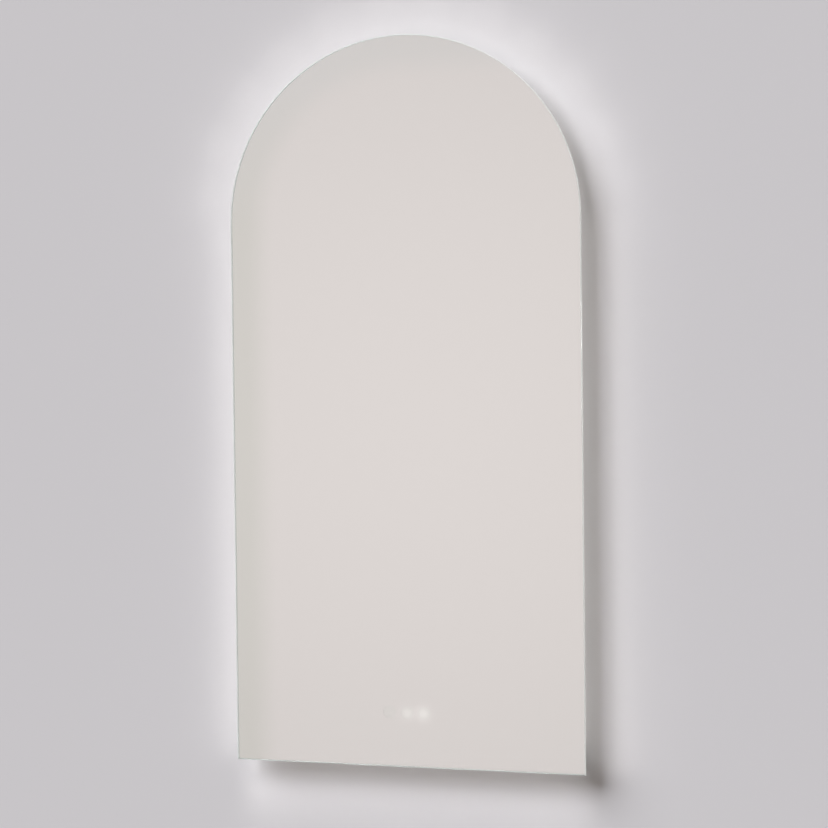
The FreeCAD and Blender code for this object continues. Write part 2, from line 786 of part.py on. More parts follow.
# ---------------------------------------------------------------------------------------------------------
# Fasteners and buffers
# ---------------------------------------------------------------------------------------------------------


def copies(shape, places):
    """One copy of a shape at each (x, y, z)."""
    shapes = []
    for x, y, z in places:
        copy = shape.copy()
        copy.translate(Vector(mm(x), mm(y), mm(z)))
        shapes.append(copy)
    return shapes


def prism(sides, radius, start, end):
    """A regular prism about the Y axis, from one depth to another."""
    corners = []
    for i in range(sides):
        angle = 2 * math.pi * i / sides
        corners.append(Vector(mm(radius) * math.cos(angle), mm(start), mm(radius) * math.sin(angle)))
    face = Part.Face(Part.makePolygon([*corners, corners[0]]))
    return face.extrude(Vector(0, mm(end) - mm(start), 0))


def screw(length):
    """A screw driven towards -Y with the underside of its head at the origin, drawn with few faces."""
    head = prism(HEAD_SIDES, "screw_head_radius", "0", "screw_head_height")
    return head.fuse(prism(SHANK_SIDES, "screw_radius", f"-{length}", "0")).removeSplitter()


def build_screws(label, places, seat, length="screw_length"):
    """One node of alike screws, each at (across, up) with its head on the plane y = seat."""
    group(label, copies(screw(length), [(x, seat, z) for x, z in places]))


def build_wall_buffers():
    """The two rubber buffers stuck to the foot of the frame, which hold it off the wall."""
    body = new_body("wall_buffers")
    body.AllowCompound = True
    rounds = [circle(x, z, "buffer_radius") for x, z in both_sides(BUFFERS)]
    add(body, "buffers", "XZ", FRAME_BACK, "0", *rounds)


# ---------------------------------------------------------------------------------------------------------
# Heater film
# ---------------------------------------------------------------------------------------------------------


def build_heater():
    """The film that keeps the middle of the mirror clear, its printed trace and its terminal."""
    body = new_body("heater_film")
    half, top = "(heater_width / 2)", f"({HEATER_BOTTOM} + heater_height)"
    add(body, "film", "XZ", PAINT_BACK, HEATER_BACK, rectangle(f"-{half}", HEATER_BOTTOM, half, top))
    round_edges(body, "corners", "heater_corner", along("Y"))
    build_heater_trace()

    body = new_body("heater_terminal")
    half, top = "(terminal_length / 2)", f"({HEATER_BOTTOM} + terminal_width)"
    rear = f"({TRACE_BACK} + terminal_height)"
    add(body, "block", "XZ", TRACE_BACK, rear, rectangle(f"-{half}", HEATER_BOTTOM, half, top))
    middle = f"({TRACE_BACK} + terminal_height / 2)"
    mouths = [block(f"{side} {half} / 2", middle, "terminal_mouth", "terminal_mouth") for side in "-+"]
    cut(body, "mouths", "XY", HEATER_BOTTOM, f"({HEATER_BOTTOM} + terminal_mouth_depth)", *mouths)


def build_heater_trace():
    """The printed trace: level bars joined by a turn at alternate ends."""
    body = new_body("heater_trace")
    right = "(heater_width / 2 - trace_margin)"
    inner = f"({right} - trace_width)"
    low = f"({HEATER_BOTTOM} + trace_margin)"
    start = f"({low} + trace_pitch)"
    turn_height = "trace_pitch + trace_width"
    bars = int(mm("(heater_height - 2 * trace_margin - trace_width) / trace_pitch")) + 1
    bar = rectangle(f"-{right}", low, right, f"{low} + trace_width")
    right_turn = rectangle(inner, low, right, f"{low} + {turn_height}")
    left_turn = rectangle(f"-{right}", start, f"-{inner}", f"{start} + {turn_height}")
    runs = [
        ("bar", bar, bars, "trace_pitch"),
        ("right_turn", right_turn, bars // 2, "2 * trace_pitch"),
        ("left_turn", left_turn, (bars - 1) // 2, "2 * trace_pitch"),
    ]
    for name, outline, count, pitch in runs:
        first = add(body, name, "XZ", HEATER_BACK, TRACE_BACK, outline)
        repeat(body, name + "s", first, "Z", count, pitch)


# ---------------------------------------------------------------------------------------------------------
# Tray, driver and junction box
# ---------------------------------------------------------------------------------------------------------


EAR_REACH = "(driver_length / 2 + driver_ear / 2)"
EAR_REAR = f"({GEAR_BACK} + driver_ear_thickness)"
DRIVER_SCREWS = [(f"({DRIVER_CENTRE} {side} {EAR_REACH})", GEAR_CENTRE) for side in "-+"]


def build_gear_tray():
    """The folded sheet that carries the electrical pieces, taped to the back of the mirror."""
    body = new_body("gear_tray")
    inner_low, inner_top = f"({GEAR_BOTTOM} + gear_thickness)", f"({GEAR_TOP} - gear_thickness)"
    lip = f"({TAPE_BACK} + gear_lip)"
    section = [
        (TAPE_BACK, GEAR_BOTTOM),
        (lip, GEAR_BOTTOM),
        (lip, inner_low),
        (GEAR_BACK, inner_low),
        (GEAR_BACK, inner_top),
        (lip, inner_top),
        (lip, GEAR_TOP),
        (TAPE_BACK, GEAR_TOP),
    ]
    add(body, "sheet", "YZ", "-gear_width / 2", "gear_width / 2", polygon(section))
    screw_holes(body, "tapped_holes", DRIVER_SCREWS, TAPPED_HOLE, TAPE_BACK, GEAR_BACK)

    body = new_body("gear_tape")
    body.AllowCompound = True
    reach = "gear_width / 2"
    low = rectangle(f"-{reach}", GEAR_BOTTOM, reach, f"{GEAR_BOTTOM} + gear_tape_width")
    high = rectangle(f"-{reach}", f"{GEAR_TOP} - gear_tape_width", reach, GEAR_TOP)
    add(body, "strips", "XZ", PAINT_BACK, TAPE_BACK, low, high)


def build_driver():
    """The low voltage supply: a case on two screwed ears, its board and parts, and a ribbed lid."""
    outer = block(DRIVER_CENTRE, GEAR_CENTRE, "driver_length", "driver_width")
    build_driver_case(outer)

    body = new_body("driver_lid")
    lid_rear = f"({DRIVER_REAR} + driver_lid_thickness)"
    add(body, "lid", "XZ", DRIVER_REAR, lid_rear, outer)
    round_edges(body, "corners", "driver_corner", along("Y"))
    rib = block(
        f"({DRIVER_CENTRE} - driver_length / 2 + driver_rib_pitch)",
        GEAR_CENTRE,
        "driver_rib_width",
        "driver_rib_length",
    )
    first = add(body, "rib", "XZ", lid_rear, f"({lid_rear} + driver_rib_height)", rib)
    ribs = int(mm("(driver_length - 2 * driver_rib_pitch) / driver_rib_pitch")) + 1
    repeat(body, "ribs", first, "X", ribs, "driver_rib_pitch")

    body = new_body("driver_board")
    inset = "(2 * driver_wall + 2 * board_gap)"
    board = block(DRIVER_CENTRE, GEAR_CENTRE, f"(driver_length - {inset})", f"(driver_width - {inset})")
    add(body, "board", "XZ", DRIVER_BOARD, DRIVER_BOARD_BACK, board)
    build_driver_parts()
    build_screws("driver_screws", DRIVER_SCREWS, EAR_REAR, "short_screw_length")


def build_driver_case(outer):
    """The driver's tub, with ledges for the board, two ears and a mouth for each socket."""
    body = new_body("driver_case")
    add(body, "tub", "XZ", GEAR_BACK, DRIVER_REAR, outer)
    round_edges(body, "corners", "driver_corner", along("Y"))
    floor = f"({GEAR_BACK} + driver_wall)"
    length, width = "(driver_length - 2 * driver_wall)", "(driver_width - 2 * driver_wall)"
    cut(body, "inside", "XZ", floor, DRIVER_REAR, block(DRIVER_CENTRE, GEAR_CENTRE, length, width))
    offset = "(driver_width / 2 - driver_wall - board_ledge / 2)"
    heights = [f"({GEAR_CENTRE} {side} {offset})" for side in "-+"]
    ledges = [block(DRIVER_CENTRE, height, length, "board_ledge") for height in heights]
    add(body, "ledges", "XZ", floor, DRIVER_BOARD, *ledges)
    ear = ("(driver_ear + driver_wall)", "driver_ear_width")
    offset = "(driver_length / 2 + driver_ear / 2 - driver_wall / 2)"
    ears = [block(f"({DRIVER_CENTRE} {side} {offset})", GEAR_CENTRE, *ear) for side in "-+"]
    add(body, "ears", "XZ", GEAR_BACK, EAR_REAR, *ears)
    screw_holes(body, "ear_holes", DRIVER_SCREWS, CLEAR_HOLE, GEAR_BACK, EAR_REAR)
    reach = "(socket_width / 2 + fit_gap)"
    mouth = rectangle(
        f"{DRIVER_BOARD_BACK} - fit_gap",
        f"{GEAR_CENTRE} - {reach}",
        f"{DRIVER_BOARD_BACK} + socket_height + fit_gap",
        f"{GEAR_CENTRE} + {reach}",
    )
    left_end = f"({DRIVER_CENTRE} - driver_length / 2)"
    right_end = f"({DRIVER_CENTRE} + driver_length / 2)"
    cut(body, "left_mouth", "YZ", left_end, f"({left_end} + driver_wall)", mouth)
    cut(body, "right_mouth", "YZ", f"({right_end} - driver_wall)", right_end, mouth)


def build_driver_parts():
    """The transformer, the capacitor and the two plug sockets on the driver's board."""
    body = new_body("driver_transformer")
    core_rear = f"({DRIVER_BOARD_BACK} + core_height)"
    core = block(DRIVER_CENTRE, GEAR_CENTRE, "core_length", "core_width")
    add(body, "core", "XZ", DRIVER_BOARD_BACK, core_rear, core)
    winding_rear = f"({DRIVER_BOARD_BACK} + winding_height)"
    winding = block(DRIVER_CENTRE, GEAR_CENTRE, "winding_length", "(core_width + winding_height)")
    add(body, "winding", "XZ", DRIVER_BOARD_BACK, winding_rear, winding)

    body = new_body("driver_capacitor")
    can = circle(f"({DRIVER_CENTRE} - capacitor_offset)", GEAR_CENTRE, "capacitor_radius")
    add(body, "can", "XZ", DRIVER_BOARD_BACK, f"({DRIVER_BOARD_BACK} + capacitor_height)", can)

    left_end = f"({DRIVER_CENTRE} - driver_length / 2)"
    right_end = f"({DRIVER_CENTRE} + driver_length / 2)"
    build_socket("output_socket", left_end, "+")
    build_socket("input_socket", right_end, "-")


def build_socket(label, face, inwards):
    """A plug socket with two square pin holes, from its face at one end of the driver inwards."""
    body = new_body(label)
    inner, mouth_end = f"({face} {inwards} socket_length)", f"({face} {inwards} socket_mouth_depth)"
    middle = f"({DRIVER_BOARD_BACK} + socket_height / 2)"
    shell = block(middle, GEAR_CENTRE, "socket_height", "socket_width")
    start, end = sorted((face, inner), key=mm)
    add(body, "shell", "YZ", start, end, shell)
    heights = [f"({GEAR_CENTRE} {side} socket_width / 4)" for side in "-+"]
    holes = [block(middle, height, "socket_pin_slot", "socket_pin_slot") for height in heights]
    start, end = sorted((face, mouth_end), key=mm)
    cut(body, "pin_holes", "YZ", start, end, *holes)


def build_junction_box():
    """The box where the house wiring is joined: a tub, and a snap-in lid with a collar for the cable."""
    body = new_body("junction_box")
    outer = block(BOX_CENTRE, GEAR_CENTRE, "box_length", "box_width")
    add(body, "tub", "XZ", GEAR_BACK, BOX_REAR, outer)
    round_edges(body, "corners", "box_corner", along("Y"))
    inside = ("(box_length - 2 * box_wall)", "(box_width - 2 * box_wall)")
    cut(body, "inside", "XZ", BOX_FLOOR, BOX_REAR, block(BOX_CENTRE, GEAR_CENTRE, *inside))
    mouth = rectangle(
        f"{BOX_FLOOR} + box_wall",
        f"{GEAR_CENTRE} - socket_width / 2",
        f"{BOX_REAR} - box_wall",
        f"{GEAR_CENTRE} + socket_width / 2",
    )
    side = f"({BOX_CENTRE} - box_length / 2)"
    cut(body, "lead_mouth", "YZ", side, f"({side} + box_wall)", mouth)

    body = new_body("junction_lid")
    add(body, "lid", "XZ", BOX_REAR, BOX_LID_REAR, outer)
    round_edges(body, "corners", "box_corner", along("Y"))
    reach = ("(box_length - 2 * box_wall - 2 * fit_gap)", "(box_width - 2 * box_wall - 2 * fit_gap)")
    within = (f"({reach[0]} - 2 * box_wall)", f"({reach[1]} - 2 * box_wall)")
    rim = [block(BOX_CENTRE, GEAR_CENTRE, *size) for size in (reach, within)]
    add(body, "rim", "XZ", f"({BOX_REAR} - box_lid_rim)", BOX_REAR, *rim)
    entry = (f"({BOX_CENTRE} + collar_offset)", GEAR_CENTRE)
    collar_rear = f"({BOX_LID_REAR} + collar_height)"
    add(body, "collar", "XZ", BOX_LID_REAR, collar_rear, circle(*entry, "collar_diameter / 2"))
    cut(body, "cable_hole", "XZ", BOX_REAR, collar_rear, circle(*entry, "collar_bore / 2"))


def build_terminal_block():
    """The lever terminals on the floor of the junction box, one pole for each conductor."""
    body = new_body("terminal_block")
    poles = int(mm("pole_count"))
    x = f"({BOX_CENTRE} - pole_offset)"
    first = f"({GEAR_CENTRE} - (pole_count - 1) * pole_pitch / 2)"
    rear = f"({BOX_FLOOR} + pole_height)"
    seat = f"({rear} - lever_height)"
    outline = block(x, GEAR_CENTRE, "pole_length", "(pole_count * pole_pitch)")
    add(body, "block", "XZ", BOX_FLOOR, rear, outline)
    recess = block(x, first, "lever_length", "(lever_width + 2 * fit_gap)")
    trough = cut(body, "trough", "XZ", seat, rear, recess)
    repeat(body, "troughs", trough, "Z", poles, "pole_pitch")
    middle = f"({BOX_FLOOR} + (pole_height - lever_height) / 2)"
    start = f"({x} - pole_length / 2)"
    opening = block(middle, first, "pole_mouth", "pole_mouth")
    mouth = cut(body, "mouth", "YZ", start, f"({start} + pole_mouth_depth)", opening)
    repeat(body, "mouths", mouth, "Z", poles, "pole_pitch")

    body = new_body("terminal_levers")
    body.AllowCompound = True
    lever = ("(lever_length - 2 * fit_gap)", "lever_width")
    levers = [block(x, f"({first} + {i} * pole_pitch)", *lever) for i in range(poles)]
    add(body, "levers", "XZ", seat, f"({rear} + lever_height / 2)", *levers)


# ---------------------------------------------------------------------------------------------------------
# Touch switch and its three spots
# ---------------------------------------------------------------------------------------------------------

def build_touch_switch():
    """The touch switch behind the three spots: foam frame, housing, board, lamps, lens and cover."""
    outline = block("0", TOUCH_CENTRE, "sensor_length", "sensor_width")
    lens = block("0", TOUCH_CENTRE, "lens_length", "lens_width")
    rim = f"({SENSOR_REAR} - sensor_cover)"

    body = new_body("touch_tape")
    within = ("(sensor_length - 2 * sensor_tape_width)", "(sensor_width - 2 * sensor_tape_width)")
    add(body, "frame", "XZ", PAINT_BACK, SENSOR_FRONT, outline, block("0", TOUCH_CENTRE, *within))

    build_touch_housing(outline, lens, rim)

    body = new_body("touch_board")
    inset = "(2 * sensor_wall + 2 * board_gap)"
    board = block("0", TOUCH_CENTRE, f"(sensor_length - {inset})", f"(sensor_width - {inset})")
    add(body, "board", "XZ", SENSOR_BOARD, f"({SENSOR_BOARD} + board_thickness)", board)

    body = new_body("touch_lamps")
    body.AllowCompound = True
    lamps = [block(x, TOUCH_CENTRE, "lamp_side", "lamp_side") for x in TOUCH_SPOTS]
    add(body, "lamps", "XZ", f"({SENSOR_BOARD} - lamp_height)", SENSOR_BOARD, *lamps)

    body = new_body("touch_lens")
    add(body, "lens", "XZ", PAINT_BACK, f"({PAINT_BACK} + lens_thickness)", lens)

    body = new_body("touch_cover")
    add(body, "cover", "XZ", rim, SENSOR_REAR, outline)
    round_edges(body, "corners", "sensor_corner", along("Y"))
    inset = "(2 * sensor_wall + 2 * fit_gap)"
    reach = (f"(sensor_length - {inset})", f"(sensor_width - {inset})")
    within = tuple(f"({side} - 2 * sensor_wall)" for side in reach)
    ring = [block("0", TOUCH_CENTRE, *size) for size in (reach, within)]
    add(body, "rim", "XZ", f"({rim} - sensor_rim)", rim, *ring)


def build_touch_housing(outline, lens, rim):
    """The touch switch's tub: open to the spots, with ledges for the board and a notch for its lead."""
    body = new_body("touch_housing")
    add(body, "tub", "XZ", SENSOR_FRONT, rim, outline)
    round_edges(body, "corners", "sensor_corner", along("Y"))
    floor = f"({SENSOR_FRONT} + sensor_wall)"
    length, width = "(sensor_length - 2 * sensor_wall)", "(sensor_width - 2 * sensor_wall)"
    cut(body, "inside", "XZ", floor, rim, block("0", TOUCH_CENTRE, length, width))
    offset = "(sensor_length / 2 - sensor_wall - sensor_ledge / 2)"
    ledges = [block(f"({side}{offset})", TOUCH_CENTRE, "sensor_ledge", width) for side in "-+"]
    add(body, "ledges", "XZ", floor, SENSOR_BOARD, *ledges)
    cut(body, "light_hole", "XZ", SENSOR_FRONT, floor, lens)
    notch = block(f"({rim} - notch_depth / 2)", TOUCH_CENTRE, "notch_depth", "notch_width")
    cut(body, "lead_notch", "YZ", "(sensor_length / 2 - sensor_wall)", "sensor_length / 2", notch)


def build_model():
    """Every piece, from the glass backwards."""
    build_mirror_glass()
    build_coatings()
    build_frame_tape()
    build_frame_arch()
    build_frame_foot()
    build_corner_key("corner_key_left", "-1 *")
    build_corner_key("corner_key_right", "")
    build_light_strip()
    build_light_chips()
    build_diffuser()
    build_wall_rail()
    build_hanger_rail()
    build_screws("hanger_screws", both_sides(HANGER_SCREWS), FRAME_BACK)
    build_wall_buffers()
    build_heater()
    build_gear_tray()
    build_driver()
    build_junction_box()
    build_terminal_block()
    build_touch_switch()


def check_model():
    """Stops if any object failed to compute, or any piece is empty or not valid."""
    for item in doc.Objects:
        if {"Invalid", "Error"} & set(item.State):
            raise RuntimeError(f"{item.Label} did not compute: {item.getStatusString()}")
    for node in nodes:
        if node.Shape.isNull() or not node.Shape.isValid() or not node.Shape.Solids:
            raise RuntimeError(f"{node.Label} has no valid solid")


def write_parts():
    """Writes one STEP file for each node and prints what it holds."""
    os.makedirs("parts", exist_ok=True)
    for node in nodes:
        node.Shape.exportStep(os.path.join("parts", node.Label + ".step"))
        box = node.Shape.BoundBox
        size = f"{box.XLength:.1f} x {box.YLength:.1f} x {box.ZLength:.1f} mm"
        print(f"{node.Label}: {len(node.Shape.Solids)} solid(s), {size}, {node.Shape.Volume:.0f} mm3")


build_model()
doc.recompute()
check_model()
write_parts()
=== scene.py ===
"""Dresses the lighted arch mirror, and sets the stage, the lamps and the camera.

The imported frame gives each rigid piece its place. X runs to the right, Y into the wall, Z up, in metres. The
wall is the plane y = 0. Smooth and fine pieces are worked out here as grids of points: a profile carried along
the arch, or a surface of two parameters. The others keep their solid and get a finish.
"""

import logging
import math
from dataclasses import dataclass, field
from enum import Enum
from functools import cache
import bmesh
import bpy
import numpy as np
from mathutils import Matrix, Vector


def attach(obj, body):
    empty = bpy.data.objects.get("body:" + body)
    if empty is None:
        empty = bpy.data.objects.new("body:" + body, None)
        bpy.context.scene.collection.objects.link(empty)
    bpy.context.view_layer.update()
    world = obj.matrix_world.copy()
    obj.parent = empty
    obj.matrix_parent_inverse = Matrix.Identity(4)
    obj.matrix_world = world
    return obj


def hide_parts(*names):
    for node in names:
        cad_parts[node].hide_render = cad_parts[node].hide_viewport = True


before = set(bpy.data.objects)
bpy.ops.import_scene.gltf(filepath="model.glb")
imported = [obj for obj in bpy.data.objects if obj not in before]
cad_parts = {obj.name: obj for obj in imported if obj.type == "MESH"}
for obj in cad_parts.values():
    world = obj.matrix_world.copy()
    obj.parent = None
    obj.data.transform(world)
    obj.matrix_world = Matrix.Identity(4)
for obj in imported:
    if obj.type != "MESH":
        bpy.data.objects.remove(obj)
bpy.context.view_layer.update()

LOG = logging.getLogger("arch_mirror")
MIRROR_BODY = "mirror"  # the body that every piece made here rides on
GLASS_IOR = 1.52
Pair = tuple[float, float]
Colour = tuple[float, float, float]
Points = np.ndarray
Socket = bpy.types.NodeSocket

# ---- Node graphs and finishes ----


class Nodes:
    """The node tree of a material or of the world, with short ways to add to it."""

    def __init__(self, owner: bpy.types.Material | bpy.types.World) -> None:
        """Empties the tree.

        Args:
            owner: The material or world.
        """
        owner.use_nodes = True
        self.tree = owner.node_tree
        self.tree.nodes.clear()

    def add(self, kind: str, inputs: dict | None = None, **settings: object) -> bpy.types.Node:
        """Adds a node, sets it up and joins its inputs.

        Args:
            kind: The node's type, without its ShaderNode prefix.
            inputs: A socket to link or a value to set, for each input by name or number.
            **settings: Attributes of the node.

        Returns:
            The new node.
        """
        node = self.tree.nodes.new("ShaderNode" + kind)
        for key, value in settings.items():
            setattr(node, key, value)
        for key, value in (inputs or {}).items():
            if isinstance(value, Socket):
                self.tree.links.new(value, node.inputs[key])
            else:
                node.inputs[key].default_value = value
        return node

    def maths(self, operation: str, a: object, b: object = 0.0, c: object = 0.0) -> Socket:
        """One arithmetic step on sockets or numbers."""
        return self.add("Math", {0: a, 1: b, 2: c}, operation=operation).outputs[0]

    def vector(self, operation: str, first: Socket, second: object, output: str = "Vector") -> Socket:
        """One step of vector arithmetic."""
        return self.add("VectorMath", {0: first, 1: second}, operation=operation).outputs[output]

    def times(self, first: object, *others: object) -> Socket:
        """The product of sockets or numbers."""
        for other in others:
            first = self.maths("MULTIPLY", first, other)
        return first


class Graph(Nodes):
    """The node graph of one material, with its principled shader joined to the output."""

    def __init__(self, name: str) -> None:
        """Starts an empty material.

        Args:
            name: The material's name.
        """
        self.material = bpy.data.materials.new(name)
        super().__init__(self.material)
        self.shader = self.add("BsdfPrincipled")
        self.output = self.add("OutputMaterial", {"Surface": self.shader.outputs[0]})

    def point(self) -> Socket:
        """The point in object coordinates."""
        return self.add("TexCoord").outputs["Object"]

    def place(self, scale: Colour = (1.0, 1.0, 1.0), along: bool = False) -> Socket:
        """The point in object coordinates, or in metres along and across the piece in its UV map, scaled."""
        point = self.add("UVMap").outputs[0] if along else self.point()
        return self.add("Mapping", {"Vector": point, "Scale": scale}).outputs[0]

    def away_from(self, centre: Colour) -> Socket:
        """How far the point is from a centre."""
        return self.vector("DISTANCE", self.point(), centre, "Value")

    def axis(self, name: str, vector: Socket) -> Socket:
        """One coordinate of a vector."""
        return self.add("SeparateXYZ", {0: vector}).outputs[name]

    def noise(self, vector: Socket, scale: float, detail: float = 2.0) -> Socket:
        """Smooth noise between 0 and 1."""
        return self.add("TexNoise", {"Vector": vector, "Scale": scale, "Detail": detail}).outputs[0]

    def remap(self, value: Socket, low: float, high: float, to_low: float = 0.0, to_high: float = 1.0,
              smooth: bool = False) -> Socket:
        """A value carried from one range to another, and held inside it."""
        kind = "SMOOTHSTEP" if smooth else "LINEAR"
        inputs = {"Value": value, "From Min": low, "From Max": high, "To Min": to_low, "To Max": to_high}
        return self.add("MapRange", inputs, interpolation_type=kind).outputs[0]

    def mix(self, share: object, first: object, second: object) -> Socket:
        """A colour between two, by share from 0 to 1."""
        pair = [(*c, 1.0) if isinstance(c, tuple) else c for c in (first, second)]
        return self.add("Mix", {0: share, 6: pair[0], 7: pair[1]}, data_type="RGBA").outputs[2]

    def bump(self, height: Socket, depth: float) -> None:
        """Raises the shader's surface by a height from 0 to 1 times a depth in metres."""
        node = self.add("Bump", {"Height": height, "Distance": depth, "Strength": 1.0})
        self.tree.links.new(node.outputs[0], self.shader.inputs["Normal"])

    def seen(self) -> Socket:
        """1 where the eye looks at the surface, straight or through glass, and 0 for other rays."""
        path = self.add("LightPath").outputs
        return self.maths("MAXIMUM", path["Is Camera Ray"], path["Is Transmission Ray"])

    def from_behind(self) -> Socket:
        """1 where a ray meets the surface from inside or behind, and 0 elsewhere."""
        return self.add("NewGeometry").outputs["Backfacing"]

    def drive(self, **sockets: object) -> None:
        """Sets or joins the shader's inputs, named with underscores for spaces."""
        for key, value in sockets.items():
            target = self.shader.inputs[key.replace("_", " ")]
            if isinstance(value, Socket):
                self.tree.links.new(value, target)
            else:
                target.default_value = (*value, 1.0) if isinstance(value, tuple) else value


class Kind(Enum):
    """What a pattern is made of."""

    NOISE = "smooth noise"
    CELLS = "distance in round or square cells"
    WAVES = "bands across an axis"
    PLACE = "coordinate on an axis"
    REACH = "distance from a middle along an axis"


@dataclass(frozen=True)
class Pattern:
    """A pattern in object coordinates, or in the UV map of a piece that it runs along.

    Where it is held, the range between the first two numbers is carried to that between the last two.
    """

    scale: float = 1.0
    detail: float = 2.0
    kind: Kind = Kind.NOISE
    stretch: Colour = (1.0, 1.0, 1.0)
    along: bool = False
    metric: str = "EUCLIDEAN"
    randomness: float = 1.0
    axis: str = "X"
    middle: float = 0.0
    held: tuple[float, float, float, float] | None = None

    def on(self, graph: Graph) -> Socket:
        """Adds the pattern to a graph.

        Args:
            graph: The graph.

        Returns:
            The pattern's value.
        """
        place = graph.place(self.stretch, self.along)
        inputs = {"Vector": place, "Scale": self.scale}
        if self.kind is Kind.NOISE:
            value = graph.noise(place, self.scale, self.detail)
        elif self.kind is Kind.CELLS:
            cells = graph.add("TexVoronoi", inputs | {"Randomness": self.randomness}, distance=self.metric)
            value = cells.outputs["Distance"]
        elif self.kind is Kind.WAVES:
            value = graph.add("TexWave", inputs, bands_direction=self.axis).outputs["Fac"]
        else:
            value = graph.axis(self.axis, place)
        if self.kind is Kind.REACH:
            value = graph.maths("ABSOLUTE", graph.maths("SUBTRACT", value, self.middle))
        return graph.remap(value, *self.held) if self.held else value


@dataclass(frozen=True)
class Glow:
    """Soft round spots of light on the plate: the lit touch spots, and a painted glow round them on the silver.
    """

    centres: tuple[Colour, ...]
    strengths: tuple[float, ...]
    spreads: tuple[float, ...]
    colour: Colour = (1.0, 0.985, 0.965)

    def shine(self, graph: Graph) -> None:
        """Adds the light: at d from a centre, its strength times e to the power -(d / spread)^2."""
        level: object = 0.0
        for centre, strength, spread in zip(self.centres, self.strengths, self.spreads):
            share = graph.maths("DIVIDE", graph.away_from(centre), spread)
            fall = graph.maths("EXPONENT", graph.times(share, share, -1.0))
            level = graph.maths("MULTIPLY_ADD", fall, strength, level)
        graph.drive(Emission_Color=self.colour, Emission_Strength=level)


@dataclass(frozen=True)
class Finish:
    """A finish: its name, its colour, or the first of two, and how rough it is."""

    name: str
    colour: Colour
    roughness: float

    @cache
    def material(self) -> bpy.types.Material:
        """The finish as a material, made once."""
        graph = Graph(self.name)
        graph.drive(Base_Color=self.colour, Roughness=self.roughness)
        self.dress(graph)
        return graph.material

    def dress(self, graph: Graph) -> None:
        """Adds the finish's own detail to the graph."""


@dataclass(frozen=True)
class Textured(Finish):
    """A finish whose tone, specks, gloss and relief follow patterns, or products of patterns.

    The tone runs from the colour to the other colour, and the specks lie over both. The roughness runs
    from the first number of the spread below its middle to the second above it.
    """

    other: Colour
    tone: tuple[Pattern, ...]
    relief: tuple[Pattern, ...] = ()
    depth: float = 0.0
    gloss: Pattern | None = None
    spread: Pair = (0.0, 0.0)
    specks: Pattern | None = None
    speck_colour: Colour = (0.0, 0.0, 0.0)
    metallic: float | Pattern = 0.0
    specular: float = 0.5
    coat: Pair = (0.0, 0.03)
    light: float = 0.0
    light_colour: Colour = (1.0, 1.0, 1.0)
    glow: Glow | None = None

    def dress(self, graph: Graph) -> None:
        """Adds the colours, the gloss, the relief and the light."""
        tone, relief = ([pattern.on(graph) for pattern in patterns] for patterns in (self.tone, self.relief))
        base = graph.mix(graph.times(*tone), self.colour, self.other)
        if self.specks:
            base = graph.mix(self.specks.on(graph), base, self.speck_colour)
        metal = self.metallic.on(graph) if isinstance(self.metallic, Pattern) else self.metallic
        graph.drive(
            Base_Color=base, Metallic=metal, Specular_IOR_Level=self.specular, Coat_Weight=self.coat[0],
            Coat_Roughness=self.coat[1], Emission_Color=self.light_colour, Emission_Strength=self.light,
        )
        if self.gloss:
            low, high = self.roughness - self.spread[0], self.roughness + self.spread[1]
            graph.drive(Roughness=graph.remap(self.gloss.on(graph), 0.3, 0.7, low, high))
        if relief:
            graph.bump(graph.times(*relief), self.depth)
        if self.glow:
            self.glow.shine(graph)


@dataclass(frozen=True)
class Spangled(Finish):
    """Galvanised sheet: crystals of zinc a few millimetres across, each with its own tone and gloss."""

    darker: float = 0.66
    crystals: float = 130.0
    bend: float = 0.012

    def dress(self, graph: Graph) -> None:
        """Adds the crystals, from cells whose borders are bent by noise."""
        place = graph.place()
        warp = graph.add("TexNoise", {"Vector": place, "Scale": 90.0, "Detail": 2.0}).outputs["Color"]
        spot = graph.vector("ADD", place, graph.vector("MULTIPLY", warp, (self.bend,) * 3))
        cell = graph.add("TexVoronoi", {"Vector": spot, "Scale": self.crystals}).outputs["Color"]
        darker = tuple(c * self.darker for c in self.colour)
        low, high = self.roughness - 0.12, self.roughness + 0.14
        graph.drive(
            Base_Color=graph.mix(graph.axis("X", cell), darker, self.colour),
            Metallic=1.0,
            Roughness=graph.remap(graph.axis("Y", cell), 0.0, 1.0, low, high),
        )
        graph.bump(graph.noise(place, 900.0), 0.00002)


@dataclass(frozen=True)
class ClearGlass(Finish):
    """Float glass, with the faint green of its iron."""

    def dress(self, graph: Graph) -> None:
        """Makes the surface clear."""
        graph.drive(Transmission_Weight=1.0, IOR=GLASS_IOR)


@dataclass(frozen=True)
class GroundEdge(Finish):
    """The edge of the plate, ground and polished: a pale frost under a bright polish, with a painted glow in
    it.
    """

    clear: float = 0.15
    # painted glow of the edge, seen from outside and from inside the glass; the edge is no lamp
    painted_glow: float = 0.13
    inside: float = 0.39
    foot: float = -0.860
    ground: float = 0.0012

    def dress(self, graph: Graph) -> None:
        """Adds the wheel's lines and a painted glow, which shows most through the front and is left out along
        the foot as painted shade.
        """
        lines = graph.noise(graph.place((30.0, 9000.0, 1.0), along=True), 1.0)
        height = graph.axis("Z", graph.place())
        # painted shade: the glow is left out along the foot
        lit = graph.remap(height, self.foot + self.ground, self.foot + 2 * self.ground)
        # painted glow: emission on the edge, stronger where it is seen from inside the glass
        level = graph.maths("MULTIPLY_ADD", graph.from_behind(), self.inside - self.painted_glow, self.painted_glow)
        graph.drive(
            Transmission_Weight=self.clear,
            IOR=GLASS_IOR,
            Roughness=graph.remap(lines, 0.35, 0.65, self.roughness * 0.5, self.roughness * 1.6),
            Coat_Weight=1.0,
            Coat_Roughness=0.02,
            Emission_Color=self.colour,
            Emission_Strength=graph.times(level, lit),
        )
        graph.bump(lines, 0.00001)


